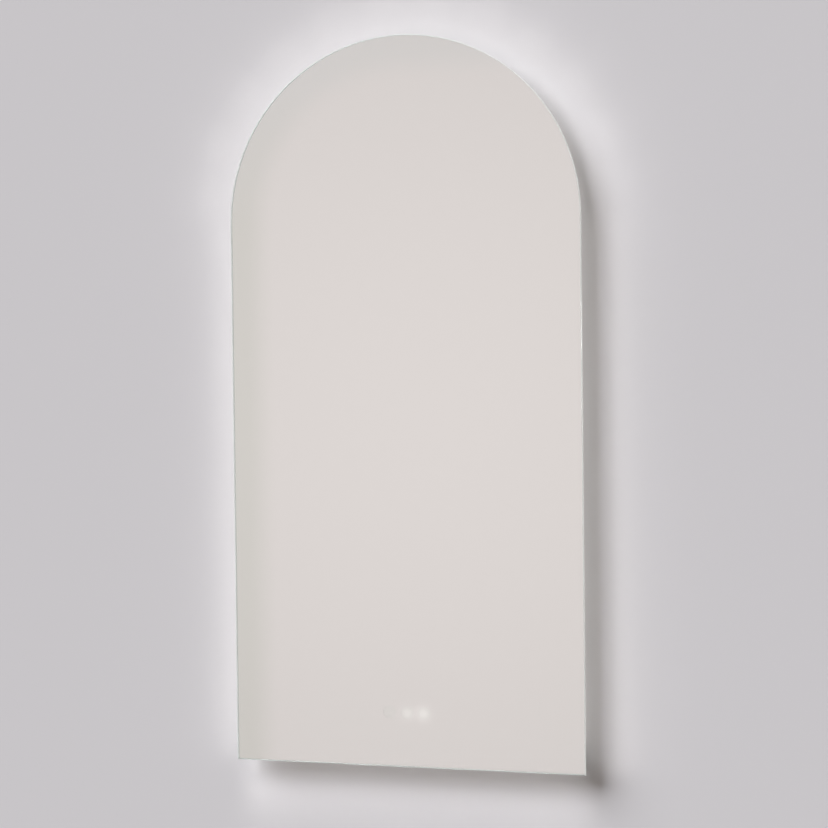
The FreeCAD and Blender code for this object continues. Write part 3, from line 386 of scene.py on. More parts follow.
@dataclass(frozen=True)
class Silvered(Finish):
    """The silver behind the glass, with painted shade towards its left and upper rim."""

    glow: Glow
    half_width: float = 0.300
    spring: float = 0.040
    # painted shade near the left and upper rim: where it is full, where it ends, its jitter, its tints for the
    # sides and the crown, and the crown tint's reach
    full: float = 0.020
    rim: float = 0.080
    painted_shade_jitter: float = 0.012
    painted_shade_sides: Colour = (0.900, 0.920, 0.895)
    painted_shade_crown: Colour = (0.945, 0.965, 0.970)
    crown: float = 0.22

    def dress(self, graph: Graph) -> None:
        """Makes the coat a mirror whose colour is darkened, as painted shade, towards its left and upper rim,
        by the distance from that rim.

        With p = min(x, 0) and q = max(z - spring, 0), that distance is w - sqrt(p^2 + q^2).
        """
        place = graph.place()
        p = graph.maths("MINIMUM", graph.axis("X", place), 0.0)
        q = graph.maths("MAXIMUM", graph.maths("SUBTRACT", graph.axis("Z", place), self.spring), 0.0)
        root = graph.maths("SQRT", graph.maths("ADD", graph.times(p, p), graph.times(q, q)))
        depth = graph.maths("SUBTRACT", self.half_width, root)
        painted_shade_jitter = graph.times(graph.noise(place, 3.0), self.painted_shade_jitter)
        painted_shade_share = graph.maths("SUBTRACT", graph.remap(depth, self.full, self.rim, smooth=True), painted_shade_jitter)
        # painted shade: darker copies of the silver's colour for the sides and the crown, mixed in near the rim
        thin = [tuple(c * t for c, t in zip(self.colour, tint)) for tint in (self.painted_shade_sides, self.painted_shade_crown)]
        painted_shade_colour = graph.mix(graph.remap(q, 0.0, self.crown), *thin)
        graph.drive(Base_Color=graph.mix(painted_shade_share, painted_shade_colour, self.colour), Metallic=1.0)
        # painted glow of the touch spots on the silver round their windows
        self.glow.shine(graph)


@dataclass(frozen=True)
class Opal(Finish):
    """The opal diffuser, lit from inside by light sources at an even pitch."""

    seen: float = 0.26
    thrown: float = 2.7
    pitch: float = 0.03333
    ripple: float = 0.06

    def dress(self, graph: Graph) -> None:
        """Adds the light: even along the piece but for a ripple of the sources' pitch, and a fine frost.

        The ripple is 1 + r cos(2 pi u / p), with u the distance along the piece and p the pitch. The eye
        sees the piece at a plain level, at which its frost and its ripple still show.
        """
        run = graph.axis("X", graph.place(along=True))
        wave = graph.maths("COSINE", graph.times(run, 2.0 * math.pi / self.pitch))
        level = graph.add("Mix", {0: graph.seen(), 2: self.thrown, 3: self.seen}).outputs[0]
        ripple = graph.maths("MULTIPLY_ADD", wave, self.ripple, 1.0)
        graph.drive(Emission_Color=(1.0, 0.94, 0.87), Emission_Strength=graph.times(level, ripple))
        graph.bump(graph.noise(graph.place(), 3000.0, 1.0), 0.00002)


def moulded(name: str, colour: Colour, roughness: float, grain: float = 2600.0) -> Textured:
    """Moulded plastic: a fine spark eroded grain and a faint flow in its tone.

    Args:
        name: The finish's name.
        colour: Its main colour.
        roughness: How rough it is.
        grain: How fine its grain is.

    Returns:
        The finish.
    """
    darker, flow = tuple(c * 0.94 for c in colour), Pattern(38.0, 3.0)
    return Textured(
        name, darker, roughness, colour, (flow,), (Pattern(grain, 1.0),), 0.00004, Pattern(300.0), (0.06, 0.10)
    )


SPOT_HEIGHT = -0.7712
SPOT_PITCH = 0.0275
LENS_FRONT = -0.0347
SPOTS = Glow(
    centres=tuple((across * SPOT_PITCH, LENS_FRONT, SPOT_HEIGHT) for across in (-1, 0, 1)),
    strengths=(0.014, 0.116, 0.142),
    spreads=(0.0098, 0.0098, 0.0112),
)

CELLS = Pattern(1500.0, kind=Kind.CELLS)
PEEL = Pattern(700.0)
DUST = Pattern(1900.0, 1.0, held=(0.70, 0.76, 0.0, 0.55))
RUNS = Pattern(1.0, 4.0, stretch=(26.0, 26.0, 1.3))
DRAWN = Pattern(1.0, 3.0, stretch=(6.0, 5200.0, 1.0), along=True)
BROAD = Pattern(stretch=(1.6, 220.0, 1.0), along=True)
SCUFFS = Pattern(2200.0, 3.0)
PASSIVATION = Pattern(260.0, held=(0.4, 0.65, 0.0, 1.0))
COPPER_PADS = Pattern(60.0, kind=Kind.WAVES, axis="Z", held=(0.93, 0.97, 0.0, 1.0))
PHOSPHOR = Pattern(4000.0, 1.0)
ROLLED = Pattern(34.0, stretch=(1.0, 1.0, 0.35))
SCREEN = tuple(Pattern(620.0, kind=Kind.WAVES, axis=axis) for axis in "XZ")
TRACKS = Pattern(190.0, kind=Kind.CELLS, metric="CHEBYCHEV", held=(0.40, 0.46, 0.0, 1.0))
TINNED_PADS = Pattern(260.0, kind=Kind.CELLS, randomness=0.35, held=(0.16, 0.20, 1.0, 0.0))
TURNS = Pattern(1.0, 1.0, stretch=(1.0, 3000.0, 1.0))
CORE_ENDS = Pattern(kind=Kind.REACH, middle=-0.062, held=(0.007, 0.0072, 0.0, 1.0))
BARE_END = Pattern(kind=Kind.PLACE, axis="Y", held=(-0.0178, -0.0176, 0.0, 1.0))
BLOOM = Pattern(160.0, 3.0, held=(0.45, 0.75, 0.0, 0.35))

CLEAR = ClearGlass("clear_glass", (0.985, 0.996, 0.990), 0.0)
EDGE = GroundEdge("ground_edge", (0.66, 0.685, 0.67), 0.12)
SILVER = Silvered("silver_layer", (0.945, 0.945, 0.940), 0.0, SPOTS)
PAINT = Textured(
    "backing_paint", (0.36, 0.40, 0.40), 0.42, (0.4104, 0.456, 0.456), (RUNS,), (PEEL,), 0.00006,
    gloss=PEEL, spread=(0.08, 0.10), specks=DUST, speck_colour=(0.2232, 0.248, 0.248),
)
FOAM = Textured(
    "foam_tape", (0.035, 0.035, 0.038), 0.85, (0.0595, 0.0595, 0.0646), (CELLS,), (CELLS,), 0.00018,
    specular=0.2,
)
ALUMINIUM = Textured(
    "drawn_aluminium", (0.672, 0.6804, 0.6888), 0.30, (0.80, 0.81, 0.82), (DRAWN, BROAD), (DRAWN,), 0.00002,
    gloss=DRAWN, spread=(0.07, 0.12), metallic=1.0,
)
SHEET = Spangled("galvanised_sheet", (0.74, 0.76, 0.78), 0.36)
SCREWS = Textured(
    "zinc_plated_screws", (0.78, 0.78, 0.80), 0.24, (0.78, 0.741, 0.64), (PASSIVATION,), (SCUFFS,), 0.00001,
    gloss=SCUFFS, spread=(0.08, 0.12), metallic=1.0,
)
OPAL = Opal("opal_diffuser", (0.38, 0.38, 0.375), 0.38)
STRIP = Textured(
    "white_strip", (0.86, 0.86, 0.83), 0.5, (0.74, 0.46, 0.27), (COPPER_PADS,), (Pattern(2500.0, 1.0),), 0.00003
)
CHIPS = Textured(
    "phosphor", (0.95, 0.80, 0.36), 0.4, (1.0, 0.88, 0.396), (PHOSPHOR,), (PHOSPHOR,), 0.00003,
    light=2.0, light_colour=(1.0, 0.95, 0.86),
)
FILM = Textured(
    "amber_film", (0.5616, 0.272, 0.044), 0.30, (0.72, 0.40, 0.08), (ROLLED,), (ROLLED,), 0.0006,
    coat=(0.7, 0.12),
)
INK = Textured(
    "silver_ink", (0.518, 0.525, 0.532), 0.38, (0.74, 0.75, 0.76), (Pattern(400.0),), SCREEN, 0.00003,
    metallic=0.85,
)
WHITE = moulded("white_plastic", (0.80, 0.80, 0.78), 0.36)
WARM_WHITE = moulded("warm_white_plastic", (0.77, 0.76, 0.71), 0.32, 3200.0)
GREY = moulded("grey_plastic", (0.56, 0.58, 0.57), 0.34, 3200.0)
ORANGE = moulded("orange_plastic", (0.80, 0.20, 0.03), 0.30, 3200.0)
BLACK = moulded("black_plastic", (0.028, 0.028, 0.030), 0.48)
RUBBER = Textured(
    "black_rubber", (0.030, 0.030, 0.030), 0.72, (0.13, 0.13, 0.13), (BLOOM,), (Pattern(2400.0),), 0.00008,
    specular=0.35,
)
BOARD = Textured(
    "circuit_board", (0.035, 0.16, 0.07), 0.35, (0.056, 0.256, 0.112), (TRACKS,), (TRACKS,), 0.00004,
    specks=TINNED_PADS, speck_colour=(0.72, 0.70, 0.66), coat=(0.4, 0.2),
)
CORE = Textured(
    "wound_transformer", (0.576, 0.464, 0.048), 0.45, (0.72, 0.58, 0.06), (TURNS,), (TURNS,), 0.00008,
    specks=CORE_ENDS, speck_colour=(0.055, 0.055, 0.06),
)
CAN = Textured(
    "sleeved_capacitor", (0.035, 0.05, 0.11), 0.35, (0.78, 0.79, 0.80), (BARE_END,), (Pattern(1200.0),),
    0.00003, metallic=BARE_END, coat=(0.3, 0.03),
)
LENS = Textured(
    "half_silvered_lens", (0.93575, 0.93575, 0.930825), 0.0, (0.95, 0.95, 0.945), (Pattern(900.0, 1.0),),
    metallic=1.0, glow=SPOTS,
)


# ---- Surfaces as grids of points ----


def put(name: str, data: bpy.types.ID) -> bpy.types.Object:
    """Puts a mesh, a lamp or a camera into the scene as an object."""
    made = bpy.data.objects.new(name, data)
    bpy.context.scene.collection.objects.link(made)
    return made


def steps_along(line: Points, closed: bool) -> Points:
    """The distance of each point of a line from its first, along the line and back to the first if closed."""
    line = np.concatenate([line, line[:1]]) if closed else line
    return np.concatenate([[0.0], np.cumsum(np.linalg.norm(np.diff(line, axis=0), axis=1))])


def soften(section: Points, radius: float, closed: bool = True, steps: int = 3) -> Points:
    """Rounds the corners of a section.

    A corner v with the points p and q before and after it on its two sides, at the radius or at 0.4 of a
    shorter side, becomes the curve (1 - t)^2 p + 2 t (1 - t) v + t^2 q.

    Args:
        section: The corners, in order, as rows of two numbers.
        radius: How far from its corner the rounding starts.
        closed: Whether the last corner joins the first. If not, the two ends stay as they are.
        steps: The points on each rounding.

    Returns:
        The rounded section, in the same order.
    """
    before, after = np.roll(section, 1, axis=0), np.roll(section, -1, axis=0)

    def towards(other: Points) -> Points:
        """The points on the sides towards the neighbours, where the roundings start."""
        side = other - section
        length = np.linalg.norm(side, axis=1, keepdims=True)
        return section + side * np.minimum(radius, 0.4 * length) / length

    p, q = towards(before)[:, None], towards(after)[:, None]
    t = np.linspace(0.0, 1.0, steps)[None, :, None]
    rounded = (1 - t) ** 2 * p + 2 * t * (1 - t) * section[:, None] + t**2 * q
    if closed:
        return rounded.reshape(-1, 2)
    return np.concatenate([section[:1], rounded[1:-1].reshape(-1, 2), section[-1:]])


@dataclass
class Shell:
    """A piece worked out as a grid of points, rows along it and columns round it."""

    name: str
    grid: Points
    wrap_rows: bool = False
    wrap_columns: bool = True
    flat_rows: bool = False
    flat_columns: bool = False
    crease_degrees: float = 34.0

    def faces(self) -> tuple[Points, Points]:
        """The quads between neighbouring points.

        Returns:
            The point numbers of each quad, and each corner's row and column before any wrap.
        """
        rows, columns = self.grid.shape[:2]
        across = np.arange(rows if self.wrap_rows else rows - 1)
        round_it = np.arange(columns if self.wrap_columns else columns - 1)
        i, j = np.meshgrid(across, round_it, indexing="ij")
        corners = [np.stack(pair, -1) for pair in ((i, j), (i + 1, j), (i + 1, j + 1), (i, j + 1))]
        corners = np.stack(corners, 2).reshape(-1, 4, 2)
        return corners[..., 0] % rows * columns + corners[..., 1] % columns, corners

    def lengths(self) -> tuple[Points, Points]:
        """The distance along the rows and round the columns, with one more for a wrap."""
        return steps_along(self.grid[:, 0], self.wrap_rows), steps_along(self.grid[0], self.wrap_columns)

    def flat_ends(self) -> list[list[int]]:
        """The flat faces over the first and last rows or columns, as point numbers."""
        rows, columns = self.grid.shape[:2]
        number = np.arange(rows * columns).reshape(rows, columns)
        ends = []
        if self.flat_rows:
            ends += [number[0].tolist(), number[-1][::-1].tolist()]
        if self.flat_columns:
            ends += [number[::-1, 0].tolist(), number[:, -1].tolist()]
        return ends

    def piece(self, finishes: list[Finish], slot: str, *stands_for: str) -> None:
        """Makes the mesh, closes its poles, gives it its finishes and lets it ride on the mirror.

        Args:
            finishes: The finish of the grid, then that of the flat ends if it is another.
            slot: The record's material slot of its finish; not used.
            *stands_for: The nodes that it replaces.
        """
        (quads, corners), (run, girth), ends = self.faces(), self.lengths(), self.flat_ends()
        flat = self.grid.reshape(-1, 3)
        mesh = bpy.data.meshes.new(self.name)
        mesh.from_pydata(flat.tolist(), [], quads.tolist() + ends)
        wrapped = np.stack([run[corners[..., 0]], girth[corners[..., 1]]], -1).reshape(-1, 2)
        on_ends = [flat[end][:, [0, 2]] for end in ends]
        uv = mesh.uv_layers.new(name="run_and_girth")
        uv.data.foreach_set("uv", np.concatenate([wrapped, *on_ends]).astype(np.float32).ravel())
        shaped = bmesh.new()
        shaped.from_mesh(mesh)
        bmesh.ops.remove_doubles(shaped, verts=shaped.verts, dist=1e-7)
        bmesh.ops.recalc_face_normals(shaped, faces=shaped.faces)
        shaped.to_mesh(mesh)
        shaped.free()
        for finish in finishes:
            mesh.materials.append(finish.material())
        count = len(mesh.polygons)
        on_end = np.arange(count) >= count - len(ends)
        mesh.polygons.foreach_set("material_index", np.where(on_end, len(finishes) - 1, 0).astype(np.int32))
        mesh.polygons.foreach_set("use_smooth", np.ones(count, bool))
        mesh.set_sharp_from_angle(angle=math.radians(self.crease_degrees))
        made = put(self.name, mesh)
        made.modifiers.new("even_shading", "WEIGHTED_NORMAL").keep_sharp = True
        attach(made, MIRROR_BODY)
        if stands_for:
            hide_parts(*stands_for)
        LOG.info("%s is made of %d faces", self.name, count)


@dataclass
class ArchLine:
    """The outline that the mirror's pieces follow: up the right, over a half circle, down the left."""

    radius: float
    spring: float
    foot: float
    arc_steps: int = 144
    leg_steps: int = 10

    def bend(self, section: Points) -> Points:
        """Carries a section along the line, mitred at the foot.

        A point of the section reaches o outwards at the depth y. With r = radius + o, it draws the legs
        (r, y, z) and (-r, y, z), z from foot - o to spring, and between them the half circle
        (r cos a, y, spring + r sin a), a from 0 to pi.

        Args:
            section: Rows of (reach outwards, depth).

        Returns:
            The points, a row for each step along the line and a column for each point of the section.
        """
        reach, depth = section[:, 0], section[:, 1]
        r = self.radius + reach
        share = np.linspace(0.0, 1.0, self.leg_steps, endpoint=False)[:, None]
        rise = (self.foot - reach) * (1.0 - share) + self.spring * share
        angle = np.linspace(0.0, math.pi, self.arc_steps + 1)[:, None]
        right, left = np.broadcast_to(r, rise.shape), np.broadcast_to(-r, rise.shape)
        x = np.concatenate([right, r * np.cos(angle), left])
        z = np.concatenate([rise, self.spring + r * np.sin(angle), rise[::-1]])
        return np.stack([x, np.broadcast_to(depth, x.shape), z], -1)

    def lay(self, section: Points) -> Points:
        """Carries a section across the foot: from (r, y, foot - o) to (-r, y, foot - o), r = radius + o."""
        reach, depth = section[:, 0], section[:, 1]
        r = self.radius + reach
        return np.stack([np.stack([side * r, depth, self.foot - reach], -1) for side in (1.0, -1.0)])


def turned(profile: Points, centre: Pair, sides: int = 64) -> Points:
    """Turns a profile about an axis along Y.

    A point of radius r and depth y draws the circle (x0 + r cos a, y, z0 + r sin a).

    Args:
        profile: Rows of (radius, depth), from one pole to the other.
        centre: The axis, as (x0, z0).
        sides: The points of each circle.

    Returns:
        The points, a row for each of the profile's and a column for each angle.
    """
    angle = np.linspace(0.0, 2.0 * math.pi, sides, endpoint=False)[None, :]
    r, y = profile[:, :1], profile[:, 1:]
    x, z = centre[0] + r * np.cos(angle), centre[1] + r * np.sin(angle)
    return np.stack([x, np.broadcast_to(y, x.shape), z], -1)


def dress(finish: Finish, *names: str) -> None:
    """Gives a finish to nodes that keep their solid.

    Args:
        finish: The finish.
        *names: The nodes.
    """
    for name in names:
        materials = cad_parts[name].data.materials
        materials.clear()
        materials.append(finish.material())
        LOG.info("%s keeps its solid in %s", name, finish.name)


# ---- The mirror's sub-assemblies ----


@dataclass
class MirrorPlate:
    """The plate of glass, its silver, its paint, and the tape that holds it to the frame."""

    half_width: float = 0.300
    spring: float = 0.040
    foot: float = -0.860
    front: float = -0.0400
    back: float = -0.03495
    ground: float = 0.0012
    arris: float = 0.0004

    def edge_profile(self) -> Points:
        """The edge from front to back as (reach, depth): bevel, flat and bevel, their corners eased."""
        g, front, back = self.ground, self.front, self.back
        corners = [(-g, front), (0.0, front + g), (0.0, back - g), (-g, back)]
        return soften(np.array(corners), self.arris, closed=False)

    def build(self) -> None:
        """Makes the plate over its silver, and dresses the coats and the tape."""
        line = ArchLine(self.half_width, self.spring, self.foot, arc_steps=192)
        grid = line.bend(self.edge_profile())
        plate = Shell(
            "glass_plate", grid, wrap_rows=True, wrap_columns=False, flat_columns=True, crease_degrees=50.0
        )
        plate.piece([EDGE, CLEAR], "glass", "mirror_glass")
        dress(SILVER, "silver_coat")
        dress(PAINT, "backing_paint")
        dress(FOAM, "frame_tape")


@dataclass
class FrameRing:
    """The bent aluminium section with its light channel, the foot and the corner keys."""

    web: float = 0.258
    spring: float = 0.040
    foot: float = -0.818
    wall: float = 0.0016
    flange: float = 0.016
    front: float = -0.0337
    back: float = -0.006
    channel_front: float = -0.026
    channel_back: float = -0.013
    lip: float = 0.0012
    reach: float = 0.007
    bead: float = 0.0005
    easing: float = 0.00025

    def line(self) -> ArchLine:
        """The line of the web's outer face."""
        return ArchLine(self.web, self.spring, self.foot)

    def section(self) -> Points:
        """The section as (reach, depth): front flange, web, channel with beaded lips, rear flange."""
        bead, lip, wall, flange, reach = self.bead, self.lip, self.wall, self.flange, self.reach
        front, back, upper, lower = self.front, self.back, self.channel_front, self.channel_back
        root, top = reach - 3 * bead, reach - 2 * bead
        corners = [
            (-flange, front), (0.0, front), (0.0, upper - lip), (reach, upper - lip),
            (reach, upper + bead), (top, upper + bead), (root, upper), (0.0, upper),
            (0.0, lower), (root, lower), (top, lower - bead), (reach, lower - bead),
            (reach, lower + lip), (0.0, lower + lip), (0.0, back), (-flange, back),
            (-flange, back - wall), (-wall, back - wall), (-wall, front + wall), (-flange, front + wall),
        ]
        return soften(np.array(corners), self.easing)

    def build(self) -> None:
        """Makes the bent length and the foot, and dresses the keys."""
        section, line = self.section(), self.line()
        Shell("bent_section", line.bend(section), flat_rows=True).piece([ALUMINIUM], "extrusion", "frame_arch")
        Shell("foot_section", line.lay(section), flat_rows=True).piece([ALUMINIUM], "extrusion", "frame_foot")
        dress(SHEET, "corner_key_left", "corner_key_right")


@dataclass
class LightRing:
    """The light strip with its sources, and the opal cover snapped over them."""

    ring: FrameRing = field(default_factory=FrameRing)
    seat: float = 0.0071
    shoulder: float = 0.0077
    crown: float = 0.0096
    half_cap: float = 0.0077
    leg: float = 0.0059
    tooth: float = 0.0063
    tooth_reach: float = 0.0050
    tip: float = 0.0040
    wall: float = 0.0012
    fullness: float = 2.6
    crown_steps: int = 17

    def section(self) -> Points:
        """The cover's section as (reach, depth).

        Its crown reaches s + (c - s) (1 - |v / h|^n)^(1/n) at v across it, between its shoulders s and its
        middle c, h being half its width and n its fullness. Two legs with teeth stand inside.
        """
        v = self.half_cap * np.sin(np.linspace(math.pi / 2, -math.pi / 2, self.crown_steps))
        lift = (1.0 - np.minimum(1.0, np.abs(v / self.half_cap)) ** self.fullness) ** (1.0 / self.fullness)
        crown = np.stack([self.shoulder + (self.crown - self.shoulder) * lift, v], -1)
        inner = self.leg - self.wall
        half = np.array([
            (self.seat, self.half_cap), (self.seat, self.leg), (self.ring.reach - 2 * self.ring.bead, self.leg),
            (self.tooth_reach, self.tooth), (self.tip, inner), (self.ring.reach, inner),
        ])
        middle = (self.ring.channel_front + self.ring.channel_back) / 2
        return np.concatenate([half[::-1], crown, half * (1.0, -1.0)]) + (0.0, middle)

    def build(self) -> None:
        """Makes the cover in its two lengths, and dresses the strip and its sources."""
        section, line = self.section(), self.ring.line()
        Shell("opal_cover_bent", line.bend(section), flat_rows=True).piece([OPAL], "opal", "diffuser_arch")
        Shell("opal_cover_foot", line.lay(section), flat_rows=True).piece([OPAL], "opal", "diffuser_foot")
        dress(STRIP, "light_strip_arch", "light_strip_foot")
        dress(CHIPS, "light_chips", "touch_lamps")


@dataclass
class PanScrew:
    """A pan head screw with a cross recess, driven towards -Y."""

    radius: float = 0.0035
    rim: float = 0.0011
    height: float = 0.0020
    shank: float = 0.00175
    length: float = 0.006
    pitch: float = 0.0008
    thread: float = 0.00022
    arm_half_width: float = 0.00042
    arm_reach: float = 0.0019
    recess: float = 0.0011
    slope: float = 0.00014
    to_rim: Colour = (0.0027, 0.0031, 0.0034)
    sides: int = 72

    def grid(self, centre: Pair, seat: float) -> Points:
        """The whole screw, from the middle of its head to its tip, turned about its axis.

        The head rises to m + (h - m) sqrt(1 - (r/R)^2), less the depth of the recess where a point lies in
        one of two crossed bars: min(1, (w - |u|)/e) min(1, (a - |v|)/e), held at 0, with u across and v along
        the bar. The shank's radius falls by the thread's depth times |2 frac(y/p - a/2 pi) - 1|.

        Args:
            centre: The axis, as (x, z).
            seat: The depth that the head sits on.

        Returns:
            The grid of points.
        """
        angle = np.linspace(0.0, 2.0 * math.pi, self.sides, endpoint=False)[None, :]
        over_cross = np.linspace(0.0, self.arm_reach * 1.15, 20)
        r = np.concatenate([over_cross, self.to_rim, [self.radius]])[:, None]
        u, v = np.abs(r * np.cos(angle)), np.abs(r * np.sin(angle))

        def bar(across: Points, along: Points) -> Points:
            """One arm of the cross: 1 inside it and 0 outside."""
            inside = np.clip((self.arm_half_width - across) / self.slope, 0.0, 1.0)
            return inside * np.clip((self.arm_reach - along) / self.slope, 0.0, 1.0)

        dome = self.rim + (self.height - self.rim) * np.sqrt(1.0 - (r / self.radius) ** 2)
        top = dome - self.recess * np.maximum(bar(u, v), bar(v, u))
        down = np.linspace(0.0, -self.length, 48)[:, None]
        groove = np.abs(2.0 * ((down / self.pitch - angle / (2.0 * math.pi)) % 1.0) - 1.0)
        taper = np.clip((down + self.length) / self.shank, 0.0, 1.0)
        threaded = (self.shank - self.thread * groove) * (0.25 + 0.75 * taper)
        flat = np.ones_like(angle)
        radii = [r * flat, self.radius * flat, self.shank * flat, threaded, 0.0 * flat]
        depths = [top, 0.0 * flat, 0.0 * flat, down * flat, -self.length * flat]
        radius, depth = np.concatenate(radii), seat + np.concatenate(depths)
        return np.stack([centre[0] + radius * np.cos(angle), depth, centre[1] + radius * np.sin(angle)], -1)

    def build(self, name: str, centres: list[Pair], seat: float, node: str) -> None:
        """Makes one screw at each centre, all standing for one node.

        Args:
            name: The start of each piece's name.
            centres: Their axes, as (x, z).
            seat: The depth that their heads sit on.
            node: The node of the plain screws.
        """
        for number, centre in enumerate(centres, start=1):
            Shell(f"{name}_{number}", self.grid(centre, seat)).piece([SCREWS], "screws", node)


@dataclass
class Hanging:
    """The wall rail, the hanger rail with its screws, and the buffers that hold the foot off the wall."""

    flange_middle: float = 0.2492
    screw_heights: Pair = (-0.004, 0.018)
    seat: float = -0.006
    buffer_x: float = 0.158
    buffer_z: float = -0.8092
    buffer_radius: float = 0.006

    def buffer_profile(self) -> Points:
        """A buffer as (radius, depth), from the frame to the wall: a flared foot, a groove and a soft top."""
        r, y = self.buffer_radius, self.seat
        return np.array([
            (0.0, y), (r, y), (r, y + 0.0012), (r - 0.0002, y + 0.0015), (r - 0.0008, y + 0.0018),
            (r - 0.0009, y + 0.0024), (r - 0.0004, y + 0.0029), (r - 0.0003, y + 0.0044),
            (r - 0.0006, y + 0.0053), (r - 0.0013, y + 0.0058), (r - 0.0022, 0.0), (0.0, 0.0),
        ])

    def build(self) -> None:
        """Makes the screws and the buffers, and dresses both rails."""
        dress(SHEET, "wall_rail", "hanger_rail")
        centres = [(side * self.flange_middle, z) for side in (-1.0, 1.0) for z in self.screw_heights]
        PanScrew().build("hanger_screw", centres, self.seat, "hanger_screws")
        for name, side in (("left", -1.0), ("right", 1.0)):
            grid = turned(self.buffer_profile(), (side * self.buffer_x, self.buffer_z))
            Shell(f"wall_buffer_{name}", grid).piece([RUBBER], "rubber", "wall_buffers")


@dataclass
class Supply:
    """The heater, the tray, the driver and the junction box."""

    ear_seat: float = -0.0303
    ear_centres: Pair = (-0.133, 0.009)
    centre_z: float = -0.654
    collar_x: float = 0.112
    collar_top: float = -0.0097
    collar_bore: float = 0.0045
    collar_radius: float = 0.0075
    collar_height: float = 0.0036
    ribs: int = 24
    rib_depth: float = 0.0004
    sides: int = 192

    def collar_grid(self) -> Points:
        """A ribbed ring round the collar, with a rounded lip at its top.

        The outer radius is r + d (1 + cos n a) / 2 at the angle a, for n ribs of the depth d.
        """
        outer, bore, top = self.collar_radius, self.collar_bore, self.collar_top
        low = top - self.collar_height
        profile = np.array([
            (outer + 0.0002, low), (outer + 0.0002, top - 0.0006), (outer - 0.0002, top + 0.0001),
            (outer - 0.0010, top + 0.0004), (bore + 0.0010, top + 0.0004), (bore + 0.0003, top + 0.0001),
            (bore + 0.0001, top - 0.0006), (bore + 0.0001, top - 0.0010), (outer - 0.0004, top - 0.0010),
            (outer - 0.0004, low),
        ])
        grid = turned(profile, (self.collar_x, self.centre_z), self.sides)
        angle = np.linspace(0.0, 2.0 * math.pi, self.sides, endpoint=False)
        ribs = self.rib_depth * (1.0 + np.cos(self.ribs * angle)) / 2.0
        grid[:2, :, 0] += ribs * np.cos(angle)
        grid[:2, :, 2] += ribs * np.sin(angle)
        return grid

    def build(self) -> None:
        """Makes the ear screws and the collar's ring, and dresses the rest."""
        dress(FILM, "heater_film")
        dress(INK, "heater_trace")
        dress(SHEET, "gear_tray")
        dress(FOAM, "gear_tape")
        dress(WHITE, "driver_case", "driver_lid", "junction_box", "junction_lid", "heater_terminal")
        dress(BOARD, "driver_board")
        dress(CORE, "driver_transformer")
        dress(CAN, "driver_capacitor")
        dress(WARM_WHITE, "output_socket", "input_socket")
        dress(GREY, "terminal_block")
        dress(ORANGE, "terminal_levers")
        centres = [(x, self.centre_z) for x in self.ear_centres]
        PanScrew(length=0.004).build("driver_screw", centres, self.ear_seat, "driver_screws")
        Shell("cable_collar_ring", self.collar_grid(), wrap_rows=True).piece([RUBBER], "rubber")


class TouchSwitch:
    """The touch switch behind the three spots."""

    def build(self) -> None:
        """Dresses its pieces."""
        dress(FOAM, "touch_tape")
        dress(BLACK, "touch_housing", "touch_cover")
        dress(BOARD, "touch_board")
        dress(LENS, "touch_lens")


# ---- Stage, lamps, world and camera ----


@dataclass(frozen=True)
class Sun:
    """A soft lamp far off: the direction to it, and how bright it makes a white surface that faces it."""

    name: str
    towards: Colour
    strength: float
    colour: Colour = (1.0, 1.0, 1.0)


@dataclass(frozen=True)
class EdgeLight:
    """A thin lamp along the plate's edge: depth, watts per metre, tilt to the wall, spread of its beam."""

    depth: float
    watts: float
    tilt_degrees: float = 0.0
    spread_degrees: float = 180.0


Lights = tuple[EdgeLight, ...]


